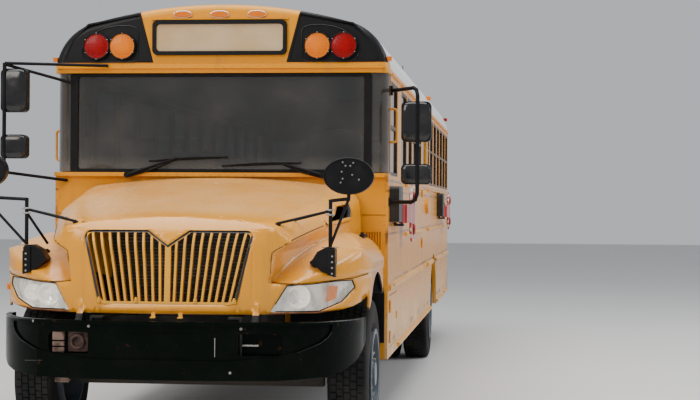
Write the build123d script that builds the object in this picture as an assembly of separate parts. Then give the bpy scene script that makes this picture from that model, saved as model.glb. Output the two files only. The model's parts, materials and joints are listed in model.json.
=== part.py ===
from build123d import *
import math
import os

# School bus with a bonnet in front of the body. Millimetres, +Z up, front towards -Y, its left side at +X.
# The origin is on the ground under the middle of the whole bus.

# Driving dimensions of the body
BODY_HALF = 1219
COWL_Y = -3875
REAR_Y = 5675
SKIRT_Z = 550
FLOOR_Z = 1080
FLOOR_T = 40
BELT_Z = 1870
WINDOW_TOP_Z = 2560
WALL_TOP_Z = 2598
EAVE_Z = 2600
ROOF_Z = 3095
CORNER_R = 380
WALL = 45
WINDOW_PITCH = 711
PILLAR = 62
GAP = 6

# Driving dimensions of the chassis
FRONT_AXLE_Y = COWL_Y - 600
REAR_AXLE_Y = COWL_Y + 6190
TYRE_R = 510
TYRE_W = 270
RIM_R = 286
TYRE_OUT_X = 1181
DUAL_PITCH = 318
KINGPIN_X = 900
KINGPIN_R = 20
SPINDLE_R = 35
RAIL_X = 430
RAIL_W = 80
RAIL_Z = (700, 960)
RAIL_T = 12
RUN_FIT = 0.05
BUMPER_FRONT_Y = -5775
BUMPER_REAR_Y = 5775

# Driving dimensions of the bonnet
HOOD_SKIN = 22
HOOD_BASE_Z = 975
FENDER_HALF = 1205
HOOD_REAR_Y = COWL_Y - 50
FENDER_REAR_Y = COWL_Y - 140
ARCH_R = 690
HINGE_Y = COWL_Y - 1762
HINGE_Z = 915
HINGE_PIN_R = 12
HINGE_PIN_END_X = 590


def aft(distance):
    """Station at a distance behind the cowl's face."""
    return COWL_Y + distance


def block(x, y, z):
    """Box between its low and high values along each axis, in either order."""
    centre = ((x[0] + x[1]) / 2, (y[0] + y[1]) / 2, (z[0] + z[1]) / 2)
    return Pos(*centre) * Box(abs(x[1] - x[0]), abs(y[1] - y[0]), abs(z[1] - z[0]))


def from_side(face, x):
    """Solid of a side view (Y, Z) between two X values."""
    low, high = sorted(x)
    return extrude(Plane.YZ.offset(low) * face, high - low)


def from_front(face, y):
    """Solid of a front view (X, Z) between two Y values."""
    low, high = sorted(y)
    return extrude(Plane.XZ.offset(-high) * face, high - low)


def from_above(face, z):
    """Solid of a plan view (X, Y) between two Z values."""
    low, high = sorted(z)
    return extrude(Plane.XY.offset(low) * face, high - low)


def polygon(*points):
    """Face inside straight edges."""
    return make_face(Polyline(*points, close=True))


def frame_view(across, up, corner):
    """Rounded rectangle between its low and high values across and up."""
    place = Pos((across[0] + across[1]) / 2, (up[0] + up[1]) / 2)
    return place * RectangleRounded(abs(across[1] - across[0]), abs(up[1] - up[0]), corner)


def pane_view(across, up):
    """Square-cornered window opening between its low and high values across and up."""
    place = Pos((across[0] + across[1]) / 2, (up[0] + up[1]) / 2)
    return place * Rectangle(abs(across[1] - across[0]), abs(up[1] - up[0]))


def rod(start, end, radius):
    """Round bar between two points."""
    way = Vector(*end) - Vector(*start)
    return extrude(Plane(origin=start, z_dir=way) * Circle(radius), way.length)


def ring(start, end, radius, bore):
    """Round tube between two points."""
    way = Vector(*end) - Vector(*start)
    face = Circle(radius) - Circle(bore)
    return extrude(Plane(origin=start, z_dir=way) * face, way.length)


def bent_path(points, bend):
    """Stops along straight runs, with each corner rounded by two short straight steps."""
    stops = [Vector(*points[0])]
    for before, corner, after in zip(points, points[1:], points[2:]):
        corner = Vector(*corner)
        way_in = (corner - Vector(*before)).normalized()
        way_out = (Vector(*after) - corner).normalized()
        half_turn = math.radians(way_in.get_angle(way_out)) / 2
        reach = bend * math.tan(half_turn)
        middle = (way_out - way_in).normalized() * (bend / math.cos(half_turn) - bend)
        stops += [corner - way_in * reach, corner + middle, corner + way_out * reach]
    return stops + [Vector(*points[-1])]


def bent_tube(points, bend, radius):
    """Round bar along straight runs, mitred through its bends."""
    path = Polyline(*bent_path(points, bend))
    section = Plane(origin=path @ 0, z_dir=path % 0) * Circle(radius)
    return sweep(section, path=path, transition=Transition.RIGHT)


def mirrored(shape):
    """Mirror image on the other side of the bus."""
    return mirror(shape, about=Plane.YZ)


def both_sides(shape):
    """A shape and its mirror image."""
    return shape + mirrored(shape)


# Body shell

LAST_PILLAR = 9490
LEFT_EXIT = (3950, 4880)
DRIVER_WINDOW = (190, 860)
FIRST_LEFT_WINDOW = 1250
ENTRANCE = (215, 985)
REAR_WINDOWS_LEFT = 6
FRONT_WINDOWS_LEFT = 4
WINDOWS_RIGHT = 12
BATTERY_DOOR_Y = (140, 880)
BATTERY_DOOR_Z = (620, 1000)
ENTRANCE_Z = (400, 2500)
EXIT_Z = (1100, 2560)
REAR_ARCH_R = 620
REAR_EXIT_HALF = 460
REAR_PANE_X = (600, 1090)
REAR_PANE_Z = (1870, 2500)
CAP_DEPTH = 260
CAP_FRONT_Y = COWL_Y - 50
WINDSCREEN_Z = (1885, WALL_TOP_Z)
WRAP_Y = COWL_Y + 160


def body_section(inset, low_z):
    """Body cross-section: straight sides, round eaves and a shallow crowned top."""
    centre_x = BODY_HALF - CORNER_R
    rise = ROOF_Z - EAVE_Z
    crown = (centre_x**2 + rise**2 - CORNER_R**2) / (2 * (rise - CORNER_R))
    turn = math.acos(centre_x / (crown - CORNER_R))
    radius = CORNER_R - inset
    half = BODY_HALF - inset
    middle = (centre_x + radius * math.cos(turn / 2), EAVE_Z + radius * math.sin(turn / 2))
    end = (centre_x + radius * math.cos(turn), EAVE_Z + radius * math.sin(turn))
    edges = [
        Line((-half, low_z), (half, low_z)),
        Line((half, low_z), (half, EAVE_Z)),
        ThreePointArc((half, EAVE_Z), middle, end),
        ThreePointArc(end, (0, ROOF_Z - inset), (-end[0], end[1])),
        ThreePointArc((-end[0], end[1]), (-middle[0], middle[1]), (-half, EAVE_Z)),
        Line((-half, EAVE_Z), (-half, low_z)),
    ]
    return make_face(edges)


def window_spans(side):
    """(start, end) behind the cowl's face of each fixed window on one side."""
    pitches = WINDOWS_RIGHT if side < 0 else REAR_WINDOWS_LEFT
    spans = []
    for count in range(pitches):
        end = LAST_PILLAR - count * WINDOW_PITCH
        spans.append((end - WINDOW_PITCH + PILLAR, end))
    if side > 0:
        spans.append((LEFT_EXIT[1] + PILLAR, LAST_PILLAR - REAR_WINDOWS_LEFT * WINDOW_PITCH))
        pitch = (LEFT_EXIT[0] - FIRST_LEFT_WINDOW) / FRONT_WINDOWS_LEFT
        for count in range(FRONT_WINDOWS_LEFT):
            start = FIRST_LEFT_WINDOW + count * pitch
            spans.append((start, start + pitch - PILLAR))
        spans.append(DRIVER_WINDOW)
    return spans


def side_wall(side):
    """Side wall from the skirt to the eaves, with its windows, wheel arch and door openings."""
    x = (side * BODY_HALF, side * (BODY_HALF - WALL))
    cut_x = (side * (BODY_HALF + WALL), side * (BODY_HALF - 2 * WALL))
    wall = block(x, (aft(WALL), REAR_Y - WALL), (SKIRT_Z, WALL_TOP_Z))
    wall -= block(cut_x, (aft(0), WRAP_Y), (WINDSCREEN_Z[0] - 25, WALL_TOP_Z + 1))
    wall -= from_side(Pos(REAR_AXLE_Y, TYRE_R) * Circle(REAR_ARCH_R), cut_x)
    for start, end in window_spans(side):
        wall -= from_side(pane_view((aft(start), aft(end)), (BELT_Z, WINDOW_TOP_Z)), cut_x)
    if side > 0:
        wall -= block(cut_x, (aft(LEFT_EXIT[0]), aft(LEFT_EXIT[1])), EXIT_Z)
        wall -= block(cut_x, (aft(BATTERY_DOOR_Y[0]), aft(BATTERY_DOOR_Y[1])), BATTERY_DOOR_Z)
    else:
        wall -= block(cut_x, (aft(ENTRANCE[0]), aft(ENTRANCE[1])), (0, ENTRANCE_Z[1]))
    return wall


def roof():
    """Crowned roof shell from the front cap to the rear wall, with a drip rail along each eave."""
    shell = body_section(0, WALL_TOP_Z) - body_section(WALL, WALL_TOP_Z - WALL)
    y = (CAP_FRONT_Y + CAP_DEPTH, REAR_Y - WALL)
    rail = block((BODY_HALF - 8, BODY_HALF + 14), y, (EAVE_Z, EAVE_Z + 12))
    return from_front(shell, y) + both_sides(rail)


LAMP_FIELD = (
    # x, z of the raised border round the left pair of warning lamps
    (579, 3030), (495, 2680), (1108, 2680), (1150, 2706), (1088, 2841), (969, 2956),
)


def front_cap():
    """Roof cap over the windscreen: rounded edge, visor, brow over the sign and raised lamp borders."""
    solid = from_front(body_section(0, WALL_TOP_Z), (CAP_FRONT_Y, CAP_FRONT_Y + CAP_DEPTH))
    front = solid.faces().sort_by(Axis.Y)[0]
    upper = front.edges().sort_by(Axis.Z)[-3:]
    solid = fillet(upper, 55)
    inside_y = CAP_FRONT_Y + WALL
    hollow = from_front(body_section(WALL, WALL_TOP_Z - WALL), (inside_y, inside_y + CAP_DEPTH))
    header = block((-BODY_HALF + WALL, BODY_HALF - WALL), (CAP_FRONT_Y, inside_y), (WALL_TOP_Z, 2670))
    visor = block((-BODY_HALF + 20, BODY_HALF - 20), (CAP_FRONT_Y - 18, CAP_FRONT_Y + 20), (2630, 2662))
    brow = block((-500, 500), (CAP_FRONT_Y - 16, CAP_FRONT_Y + 20), (2981, 2991))
    field = polygon(*LAMP_FIELD)
    border = from_front(field - offset(field, amount=-12), (CAP_FRONT_Y - 6, CAP_FRONT_Y + 20))
    return solid - hollow + header + visor + brow + both_sides(border)


def rear_wall():
    """Rear wall with the exit doorway and two fixed windows."""
    wall = from_front(body_section(0, SKIRT_Z), (REAR_Y - WALL, REAR_Y))
    cut_y = (REAR_Y - 2 * WALL, REAR_Y + WALL)
    wall -= block((-REAR_EXIT_HALF, REAR_EXIT_HALF), cut_y, EXIT_Z)
    for side in (-1, 1):
        x = (side * REAR_PANE_X[0], side * REAR_PANE_X[1])
        wall -= from_front(pane_view(x, REAR_PANE_Z), cut_y)
    return wall


LOUVRE_SLOTS = 6


def cowl():
    """Front panel between the bonnet and the body, with the engine tunnel, scuttle and air louvres."""
    panel = block((-BODY_HALF, BODY_HALF), (COWL_Y, COWL_Y + WALL), (SKIRT_Z, 1880))
    panel -= block((-360, 360), (COWL_Y - 1, COWL_Y + WALL + 1), (SKIRT_Z - 1, 1520))
    rail_gap = RAIL_X + RAIL_W / 2 + 10
    panel -= block((-rail_gap, rail_gap), (COWL_Y - 1, COWL_Y + WALL + 1), (SKIRT_Z - 1, RAIL_Z[1] + 10))
    panel += block((-880, 880), (HOOD_REAR_Y - 60, COWL_Y), (1560, 1740))
    panel += block((-BODY_HALF, BODY_HALF), (CAP_FRONT_Y + 10, COWL_Y), (1852, 1880))
    for side in (-1, 1):
        corner = block((side * BODY_HALF, side * (BODY_HALF - WALL)), (COWL_Y, WRAP_Y), (1860, 1880))
        panel += corner
        panel += block((side * 1052, side * 1180), (COWL_Y - 8, COWL_Y), (1262, 1474))
        for slot in range(LOUVRE_SLOTS):
            x = 1062 + slot * 19
            panel -= block((side * x, side * (x + 11)), (COWL_Y - 9, COWL_Y + 12), (1274, 1462))
    return panel


def windscreen():
    """Flat front glass between two panes that wrap round the corners."""
    flat = block((-1050, 1050), (COWL_Y - 20, COWL_Y - 10), WINDSCREEN_Z)
    outer = BODY_HALF - 4
    inner = BODY_HALF - 14
    outline = make_face(
        [
            Line((1056, COWL_Y - 20), (1100, COWL_Y - 20)),
            ThreePointArc((1100, COWL_Y - 20), (1182, COWL_Y + 14), (outer, COWL_Y + 95)),
            Line((outer, COWL_Y + 95), (outer, WRAP_Y)),
            Line((outer, WRAP_Y), (inner, WRAP_Y)),
            Line((inner, WRAP_Y), (inner, COWL_Y + 95)),
            ThreePointArc((inner, COWL_Y + 95), (1175, COWL_Y + 21), (1100, COWL_Y - 10)),
            Line((1100, COWL_Y - 10), (1056, COWL_Y - 10)),
            Line((1056, COWL_Y - 10), (1056, COWL_Y - 20)),
        ]
    )
    return flat + both_sides(from_above(outline, WINDSCREEN_Z))


SILLS = 14
SILL_HALF_W = 30
SHORT_SILL = 560
HOUSING_X = 565
HOUSING_R = 610
HOUSING_T = 20
STEP_INNER_X = 560
STEP_Z = 380
STEP_T = 25
RISER_T = 20
STEPS = 3
STEP_RISE = (FLOOR_Z - STEP_Z) / STEPS


def entrance_steps():
    """Three treads and their risers between two side plates, open towards the entrance door."""
    outer_x = -(BODY_HALF - WALL)
    run = (-STEP_INNER_X - outer_x) / STEPS
    y = (aft(ENTRANCE[0]), aft(ENTRANCE[1]))
    side_x = (outer_x, -STEP_INNER_X)
    side_z = (STEP_Z - STEP_T, FLOOR_Z - FLOOR_T)
    pieces = [block(side_x, (y[0] - RISER_T, y[0]), side_z), block(side_x, (y[1], y[1] + RISER_T), side_z)]
    for step in range(STEPS):
        z = STEP_Z + step * STEP_RISE
        x = (outer_x + step * run, outer_x + (step + 1) * run)
        pieces.append(block((x[0], x[1] - RISER_T), y, (z - STEP_T, z)))
        top = z + STEP_RISE - STEP_T if step < STEPS - 1 else FLOOR_Z
        pieces.append(block((x[1] - RISER_T, x[1]), y, (z - STEP_T, top)))
    return Compound(pieces)


def sill_span(y):
    """X values between which the cross sill at station y runs."""
    half = BODY_HALF - WALL
    over_wheels = abs(y - REAR_AXLE_Y) < TYRE_R + 130
    left = SHORT_SILL if over_wheels or y < aft(BATTERY_DOOR_Y[1]) else half
    right = SHORT_SILL if over_wheels else half
    right = STEP_INNER_X - 20 if y < aft(1000) else right
    return (-right, left)


def floor():
    """Floor panels on their sills, notched for the entrance steps, with boxes over the rear wheels."""
    half = BODY_HALF - WALL
    low_z = FLOOR_Z - FLOOR_T
    panel_z = (low_z, FLOOR_Z)
    pieces = [
        block((-half, half), (COWL_Y + WALL, aft(ENTRANCE[0])), panel_z),
        block((-STEP_INNER_X, half), (aft(ENTRANCE[0]), aft(ENTRANCE[1])), panel_z),
    ]
    rear = block((-half, half), (aft(ENTRANCE[1]), REAR_Y - WALL), panel_z)
    for side in (-1, 1):
        x = (side * HOUSING_X, side * half)
        outer = from_side(Pos(REAR_AXLE_Y, TYRE_R) * Circle(HOUSING_R), x)
        inner = from_side(Pos(REAR_AXLE_Y, TYRE_R) * Circle(HOUSING_R - HOUSING_T), x)
        crown = block(x, (REAR_AXLE_Y - TYRE_R, REAR_AXLE_Y + TYRE_R), (low_z, FLOOR_Z + 100))
        pieces.append((outer & crown) - inner)
        rear -= outer
    pieces.append(rear)
    for sill in range(SILLS):
        y = aft(360 + sill * WINDOW_PITCH * 0.95)
        pieces.append(block(sill_span(y), (y - SILL_HALF_W, y + SILL_HALF_W), (RAIL_Z[1], low_z)))
    return Compound(pieces)


def window_panes():
    """Fixed panes of both sides and of the rear wall, each as its own solid."""
    panes = []
    for side in (-1, 1):
        x = (side * (BODY_HALF - 16), side * (BODY_HALF - 26))
        for start, end in window_spans(side):
            panes.append(from_side(pane_view((aft(start), aft(end)), (BELT_Z, WINDOW_TOP_Z)), x))
        x = (side * REAR_PANE_X[0], side * REAR_PANE_X[1])
        panes.append(from_front(pane_view(x, REAR_PANE_Z), (REAR_Y - 26, REAR_Y - 16)))
    return Compound(panes)


SASH_W = 26
SASH_BAR_Z = 2215


def window_sashes():
    """Sash frames round the side panes, each with its middle bar."""
    sashes = []
    for side in (-1, 1):
        x = (side * (BODY_HALF - 4), side * (BODY_HALF - 16))
        for start, end in window_spans(side):
            y = (aft(start), aft(end))
            outer = pane_view(y, (BELT_Z, WINDOW_TOP_Z))
            low = pane_view((y[0] + SASH_W, y[1] - SASH_W), (BELT_Z + SASH_W, SASH_BAR_Z))
            high = pane_view((y[0] + SASH_W, y[1] - SASH_W), (SASH_BAR_Z + SASH_W, WINDOW_TOP_Z - SASH_W))
            sashes.append(from_side(outer - low - high, x))
    return Compound(sashes)


STOP_ARM_CLEAR = 1700
RAIL_LEVELS = (
    # low z, high z
    (570, 600),
    (1034, 1086),
    (1400, 1440),
    (1800, 1830),
)


def rub_rails():
    """Pressed steel rails along both sides, broken at the doors and the wheel arches."""
    rails = None
    for side in (-1, 1):
        x = (side * BODY_HALF, side * (BODY_HALF + 22))
        for low, high in RAIL_LEVELS:
            top = 12 if low > SKIRT_Z + 50 else 4
            bar = polygon((side * BODY_HALF, low), (side * (BODY_HALF + 22), low + top),
                          (side * (BODY_HALF + 22), high - top), (side * BODY_HALF, high))
            bar = from_front(bar, (aft(60), REAR_Y - 5))
            bar -= from_side(Pos(REAR_AXLE_Y, TYRE_R) * Circle(REAR_ARCH_R), x)
            if side > 0:
                if high > EXIT_Z[0] - 80:
                    bar -= block(x, (aft(LEFT_EXIT[0] - 40), aft(LEFT_EXIT[1] + 40)), (low, high))
                if low < BATTERY_DOOR_Z[0]:
                    bar -= block(x, (aft(60), aft(BATTERY_DOOR_Y[1] + 20)), (low, high))
                if low > 1300:
                    bar -= block(x, (aft(60), aft(STOP_ARM_CLEAR)), (low, high))
            else:
                bar -= block(x, (aft(ENTRANCE[0] - 40), aft(ENTRANCE[1] + 40)), (low, high))
            rails = bar if rails is None else rails + bar
    return rails


# Doors and lids

LEAF_T = 40
LEAF_STILE = 70
ENTRANCE_MID = (ENTRANCE[0] + ENTRANCE[1]) / 2
ENTRANCE_GLASS_Z = ((520, 1400), (1470, 2420))
EXIT_GLASS_Z = (1870, 2490)
HANDLE_Z = 1655


HINGE_OUT = 8
KNUCKLE_R = 7
KNUCKLE_HALF = 45
STRAP = (38, 5, 60)
ENTRANCE_HINGES = (620, 1435, 2300)
SIDE_EXIT_HINGES = (1300, 1780, 2400)
REAR_EXIT_HINGES = (1250, 1785, 2400)
BATTERY_HINGES = (700, 920)


def side_hinges(side, y, inwards, levels):
    """Hinge knuckles of a side door at station y, on straps that reach inwards along the door."""
    x = side * (BODY_HALF + HINGE_OUT)
    reach, thick, tall = STRAP
    strap_x = (side * BODY_HALF, side * (BODY_HALF + thick))
    hinges = None
    for z in levels:
        knuckle = rod((x, y, z - KNUCKLE_HALF), (x, y, z + KNUCKLE_HALF), KNUCKLE_R)
        strap = block(strap_x, (y, y + inwards * reach), (z - tall / 2, z + tall / 2))
        hinge = knuckle + strap
        hinges = hinge if hinges is None else hinges + hinge
    return hinges


def entrance_leaf(y, hinge_y, inwards):
    """Framed leaf of the entrance door with its two glazed openings and its hinges."""
    leaf = block((-BODY_HALF, -BODY_HALF + LEAF_T), y, ENTRANCE_Z)
    leaf += side_hinges(-1, hinge_y, inwards, ENTRANCE_HINGES)
    for low, high in ENTRANCE_GLASS_Z:
        view = pane_view((y[0] + LEAF_STILE, y[1] - LEAF_STILE), (low, high))
        leaf -= from_side(view, (-BODY_HALF - 1, -BODY_HALF + LEAF_T + 1))
    return leaf


def entrance_panes(y):
    """Upper and lower panes of one entrance leaf."""
    panes = []
    for low, high in ENTRANCE_GLASS_Z:
        view = pane_view((y[0] + LEAF_STILE, y[1] - LEAF_STILE), (low, high))
        panes.append(from_side(view, (-BODY_HALF + 16, -BODY_HALF + 24)))
    return Compound(panes)


def side_exit_door():
    """Emergency door in the left wall, with its handle cover and its lengths of rub rail."""
    y = (aft(LEFT_EXIT[0]) + GAP, aft(LEFT_EXIT[1]) - GAP)
    door = block((BODY_HALF - LEAF_T, BODY_HALF), y, (EXIT_Z[0] + GAP, EXIT_Z[1] - GAP))
    view = pane_view((y[0] + 110, y[1] - 110), EXIT_GLASS_Z)
    door -= from_side(view, (BODY_HALF - LEAF_T - 1, BODY_HALF + 1))
    cover = Pos(y[1] - 170, HANDLE_Z) * Ellipse(120, 80)
    door += from_side(cover, (BODY_HALF, BODY_HALF + 30))
    return door + side_hinges(1, y[0], 1, SIDE_EXIT_HINGES)


def side_exit_pane():
    """Glass of the side emergency door."""
    y = (aft(LEFT_EXIT[0]) + GAP + 110, aft(LEFT_EXIT[1]) - GAP - 110)
    return from_side(pane_view(y, EXIT_GLASS_Z), (BODY_HALF - 26, BODY_HALF - 16))


REAR_DOOR_GLASS_Z = ((1300, 1700), (1870, 2490))


def rear_exit_door():
    """Emergency door in the rear wall, with two windows and its handle."""
    x = (-REAR_EXIT_HALF + GAP, REAR_EXIT_HALF - GAP)
    y = (REAR_Y - LEAF_T, REAR_Y)
    door = block(x, y, (EXIT_Z[0] + GAP, EXIT_Z[1] - GAP))
    for glass in REAR_DOOR_GLASS_Z:
        view = pane_view((x[0] + 110, x[1] - 110), glass)
        door -= from_front(view, (y[0] - 1, y[1] + 1))
    door += block((x[1] - 170, x[1] - 40), (REAR_Y, REAR_Y + 35), (1770, 1810))
    reach, thick, tall = STRAP
    out_y = REAR_Y + HINGE_OUT
    for z in REAR_EXIT_HINGES:
        door += rod((x[0], out_y, z - KNUCKLE_HALF), (x[0], out_y, z + KNUCKLE_HALF), KNUCKLE_R)
        door += block((x[0], x[0] + reach), (REAR_Y, REAR_Y + thick), (z - tall / 2, z + tall / 2))
    return door


def rear_exit_panes():
    """Glass of the rear emergency door."""
    x = (-REAR_EXIT_HALF + GAP + 110, REAR_EXIT_HALF - GAP - 110)
    panes = []
    for glass in REAR_DOOR_GLASS_Z:
        panes.append(from_front(pane_view(x, glass), (REAR_Y - 26, REAR_Y - 16)))
    return Compound(panes)


def battery_door():
    """Hinged door in the left skirt with its latch."""
    y = (aft(BATTERY_DOOR_Y[0]) + GAP, aft(BATTERY_DOOR_Y[1]) - GAP)
    z = (BATTERY_DOOR_Z[0] + GAP, BATTERY_DOOR_Z[1] - GAP)
    door = block((BODY_HALF - 20, BODY_HALF), y, z)
    door += from_side(frame_view((y[1] - 70, y[1] - 30), (790, 850), 10), (BODY_HALF, BODY_HALF + 8))
    return door + side_hinges(1, y[0], 1, BATTERY_HINGES)


def battery_box():
    """Open-fronted steel box behind the battery door, hung from the floor."""
    y = (aft(BATTERY_DOOR_Y[0]), aft(BATTERY_DOOR_Y[1]))
    low, high = BATTERY_DOOR_Z
    outer = block((640, BODY_HALF - WALL), (y[0] - 15, y[1] + 15), (low - 15, FLOOR_Z - FLOOR_T))
    hollow = block((655, BODY_HALF - WALL + 1), y, (low, high))
    batteries = block((680, 1100), (y[0] + 60, y[0] + 340), (low, low + 240))
    batteries += block((680, 1100), (y[1] - 340, y[1] - 60), (low, low + 240))
    return outer - hollow + batteries


# Stop arms

ARM_HINGE_X = BODY_HALF + 58
ARM_T = 16
OCTAGON = 440
STOP_ARMS = (
    # node, hinge station behind the cowl, blade centre station, blade centre z
    ("stop_arm_front", 560, 1300, 1590),
    ("stop_arm_rear", 7250, 7960, 1600),
)


def stop_arm(hinge, centre, z):
    """Octagonal blade on a flat arm and hinge barrel, folded back along the side."""
    x = (ARM_HINGE_X + 22, ARM_HINGE_X + 22 + ARM_T)
    blade = Pos(aft(centre), z) * Rot(0, 0, 22.5) * RegularPolygon(OCTAGON / 2, 8, major_radius=False)
    bar = frame_view((aft(hinge + 8), aft(centre)), (z - 70, z + 70), 20)
    arm = from_side(blade + bar, x)
    arm += ring((ARM_HINGE_X, aft(hinge), z - 70), (ARM_HINGE_X, aft(hinge), z + 70), 22, 8 + RUN_FIT)
    return arm + block((ARM_HINGE_X, x[1]), (aft(hinge + 12), aft(hinge + 40)), (z - 70, z + 70))


def stop_arm_brackets():
    """Motor housings of both stop arms with the hinge pins."""
    brackets = []
    for node, hinge, centre, z in STOP_ARMS:
        housing = from_side(frame_view((aft(hinge - 440), aft(hinge - 60)), (z - 60, z + 200), 30),
                            (BODY_HALF, BODY_HALF + 70))
        lugs = block((BODY_HALF, ARM_HINGE_X + 18), (aft(hinge - 62), aft(hinge + 18)), (z - 92, z - 74))
        lugs += block((BODY_HALF, ARM_HINGE_X + 18), (aft(hinge - 62), aft(hinge + 18)), (z + 74, z + 92))
        back = block((BODY_HALF, BODY_HALF + 20), (aft(hinge - 62), aft(hinge + 18)), (z - 92, z + 92))
        pin = rod((ARM_HINGE_X, aft(hinge), z - 92), (ARM_HINGE_X, aft(hinge), z + 92), 8)
        brackets.append(housing + lugs + back + pin)
    return Compound(brackets)


# Bonnet with its fenders

NOSE_Y = COWL_Y - 1760
CREASE_Y = COWL_Y - 1600
HOOD_SECTIONS = (
    # station, half width, crown z, side top z, corner, neck x, neck z, foot x
    (COWL_Y + 100, 1050, 1868, 1812, 190, 1048, 1500, 1050),
    (COWL_Y - 850, 960, 1712, 1668, 190, 958, 1440, 960),
    (CREASE_Y, 770, 1571, 1545, 190, 650, 1346, 625),
    (COWL_Y - 1850, 700, 1530, 1505, 190, 625, 1310, 600),
)
SHOULDER_TURN = math.radians(20)
FOOT_Z = 1165
LEDGE_Z = 1150


def hood_section(y, half, crown, side_top, corner, neck_x, neck_z, foot_x, inset):
    """Bonnet cross-section: crowned top, round shoulders and flanks drawn in between neck and foot."""
    half -= inset
    neck_x -= inset
    foot_x -= inset
    crown -= inset
    side_top -= inset
    corner -= inset / 2
    low = HOOD_BASE_Z - 200
    hub = (half - corner, side_top - corner)
    middle_turn = (SHOULDER_TURN + math.pi / 2) / 2
    shoulder = (hub[0] + corner * math.cos(SHOULDER_TURN), hub[1] + corner * math.sin(SHOULDER_TURN))
    middle = (hub[0] + corner * math.cos(middle_turn), hub[1] + corner * math.sin(middle_turn))
    top = (hub[0], side_top)
    right = [
        Line((half, low), (half, LEDGE_Z - inset)),
        Line((half, LEDGE_Z - inset), (foot_x, FOOT_Z - inset)),
        Line((foot_x, FOOT_Z - inset), (neck_x, neck_z)),
        Line((neck_x, neck_z), shoulder),
        ThreePointArc(shoulder, middle, top),
    ]
    left = [mirrored(edge) for edge in right]
    crest = ThreePointArc(top, (0, crown), (-top[0], top[1]))
    bottom = Line((-half, low), (half, low))
    return Plane.XZ.offset(-y) * make_face(right + left + [crest, bottom])


def nose_plan(inset):
    """Plan view of the bonnet and fenders."""
    corner_y = COWL_Y - 1060
    mid_x = 910
    mid_y = COWL_Y - 1530
    front_x = 420
    front_y = COWL_Y - 1738
    right = [
        Line((FENDER_HALF, COWL_Y + 300), (FENDER_HALF, corner_y)),
        ThreePointArc((FENDER_HALF, corner_y), (1112, COWL_Y - 1335), (mid_x, mid_y)),
        ThreePointArc((mid_x, mid_y), (680, COWL_Y - 1668), (front_x, front_y)),
    ]
    left = [mirrored(edge) for edge in right]
    front = ThreePointArc((front_x, front_y), (0, NOSE_Y), (-front_x, front_y))
    back = Line((FENDER_HALF, COWL_Y + 300), (-FENDER_HALF, COWL_Y + 300))
    face = make_face(right + left + [front, back])
    return offset(face, amount=-inset) if inset else face


def hood_side(inset):
    """Side view of the bonnet's top and nose."""
    edges = [
        Line((NOSE_Y - 40 + inset, 700), (NOSE_Y + inset, 960)),
        Line((NOSE_Y + inset, 960), (NOSE_Y + 28 + inset, 1330)),
        ThreePointArc((NOSE_Y + 28 + inset, 1330), (NOSE_Y + 66 + inset, 1480), (CREASE_Y + inset, 1575 - inset)),
        Line((CREASE_Y + inset, 1575 - inset), (COWL_Y + 200, 1900 - inset)),
        Line((COWL_Y + 200, 1900 - inset), (COWL_Y + 200, 700)),
        Line((COWL_Y + 200, 700), (NOSE_Y - 40 + inset, 700)),
    ]
    return make_face(edges)


def hood_core(inset):
    """Middle of the bonnet between the fenders, as a solid."""
    sections = [hood_section(*row, inset) for row in HOOD_SECTIONS]
    solid = loft(sections, ruled=True)
    solid &= from_side(hood_side(inset), (-BODY_HALF, BODY_HALF))
    return solid & from_above(nose_plan(inset), (700, 1900))


def fenders(inset):
    """Both fenders as one wide solid, from a front view, a side view and the plan."""
    outer = FENDER_HALF - inset
    front = [
        Line((-outer, 700), (outer, 700)),
        Line((outer, 700), (outer, 1275 - inset)),
        ThreePointArc((outer, 1275 - inset), (1120 - inset, 1400 - inset), (950, 1466 - inset)),
        Line((950, 1466 - inset), (-950, 1466 - inset)),
        ThreePointArc((-950, 1466 - inset), (-1120 + inset, 1400 - inset), (-outer, 1275 - inset)),
        Line((-outer, 1275 - inset), (-outer, 700)),
    ]
    rear_y = FENDER_REAR_Y - inset if inset else FENDER_REAR_Y
    shoulder_y = COWL_Y - 1060
    tip_y = COWL_Y - 1790 + inset
    side = [
        Line((rear_y, 700), (rear_y, 1420 - inset)),
        ThreePointArc((rear_y, 1420 - inset), (COWL_Y - 620, 1470 - inset), (shoulder_y, 1415 - inset)),
        ThreePointArc((shoulder_y, 1415 - inset), (COWL_Y - 1480, 1250 - inset), (tip_y, 1020 - inset)),
        Line((tip_y, 1020 - inset), (tip_y, 700)),
        Line((tip_y, 700), (rear_y, 700)),
    ]
    solid = from_front(make_face(front), (COWL_Y - 2000, COWL_Y + 100))
    solid &= from_side(make_face(side), (-BODY_HALF, BODY_HALF))
    return solid & from_above(nose_plan(inset), (700, 1900))


GRILLE_TOP_Z = 1488
GRILLE_BOTTOM_Z = 1032
GRILLE_TOP_HALF = 539
GRILLE_BOTTOM_HALF = 430
NOTCH_HALF = 130
NOTCH_Z = 1396


def grille_outline(inset):
    """Front view of the grille opening, with its V-shaped notch and leaning sides."""
    face = polygon(
        (-GRILLE_BOTTOM_HALF, GRILLE_BOTTOM_Z), (GRILLE_BOTTOM_HALF, GRILLE_BOTTOM_Z),
        (GRILLE_TOP_HALF, GRILLE_TOP_Z), (NOTCH_HALF, GRILLE_TOP_Z), (0, NOTCH_Z),
        (-NOTCH_HALF, GRILLE_TOP_Z), (-GRILLE_TOP_HALF, GRILLE_TOP_Z),
    )
    face = fillet(face.vertices().sort_by(Axis.Y)[0:2], 60)
    outer_top = face.vertices().sort_by(SortBy.DISTANCE)[-2:]
    face = fillet(outer_top, 45)
    return offset(face, amount=-inset) if inset else face


SEAM_STEP = 6
SEAM = (
    # x, z of the fender's lower edge in the front view
    (606, 1215), (640, 1162), (735, 1158), (890, 1168), (1050, 1187), (1260, 1232),
)


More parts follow.
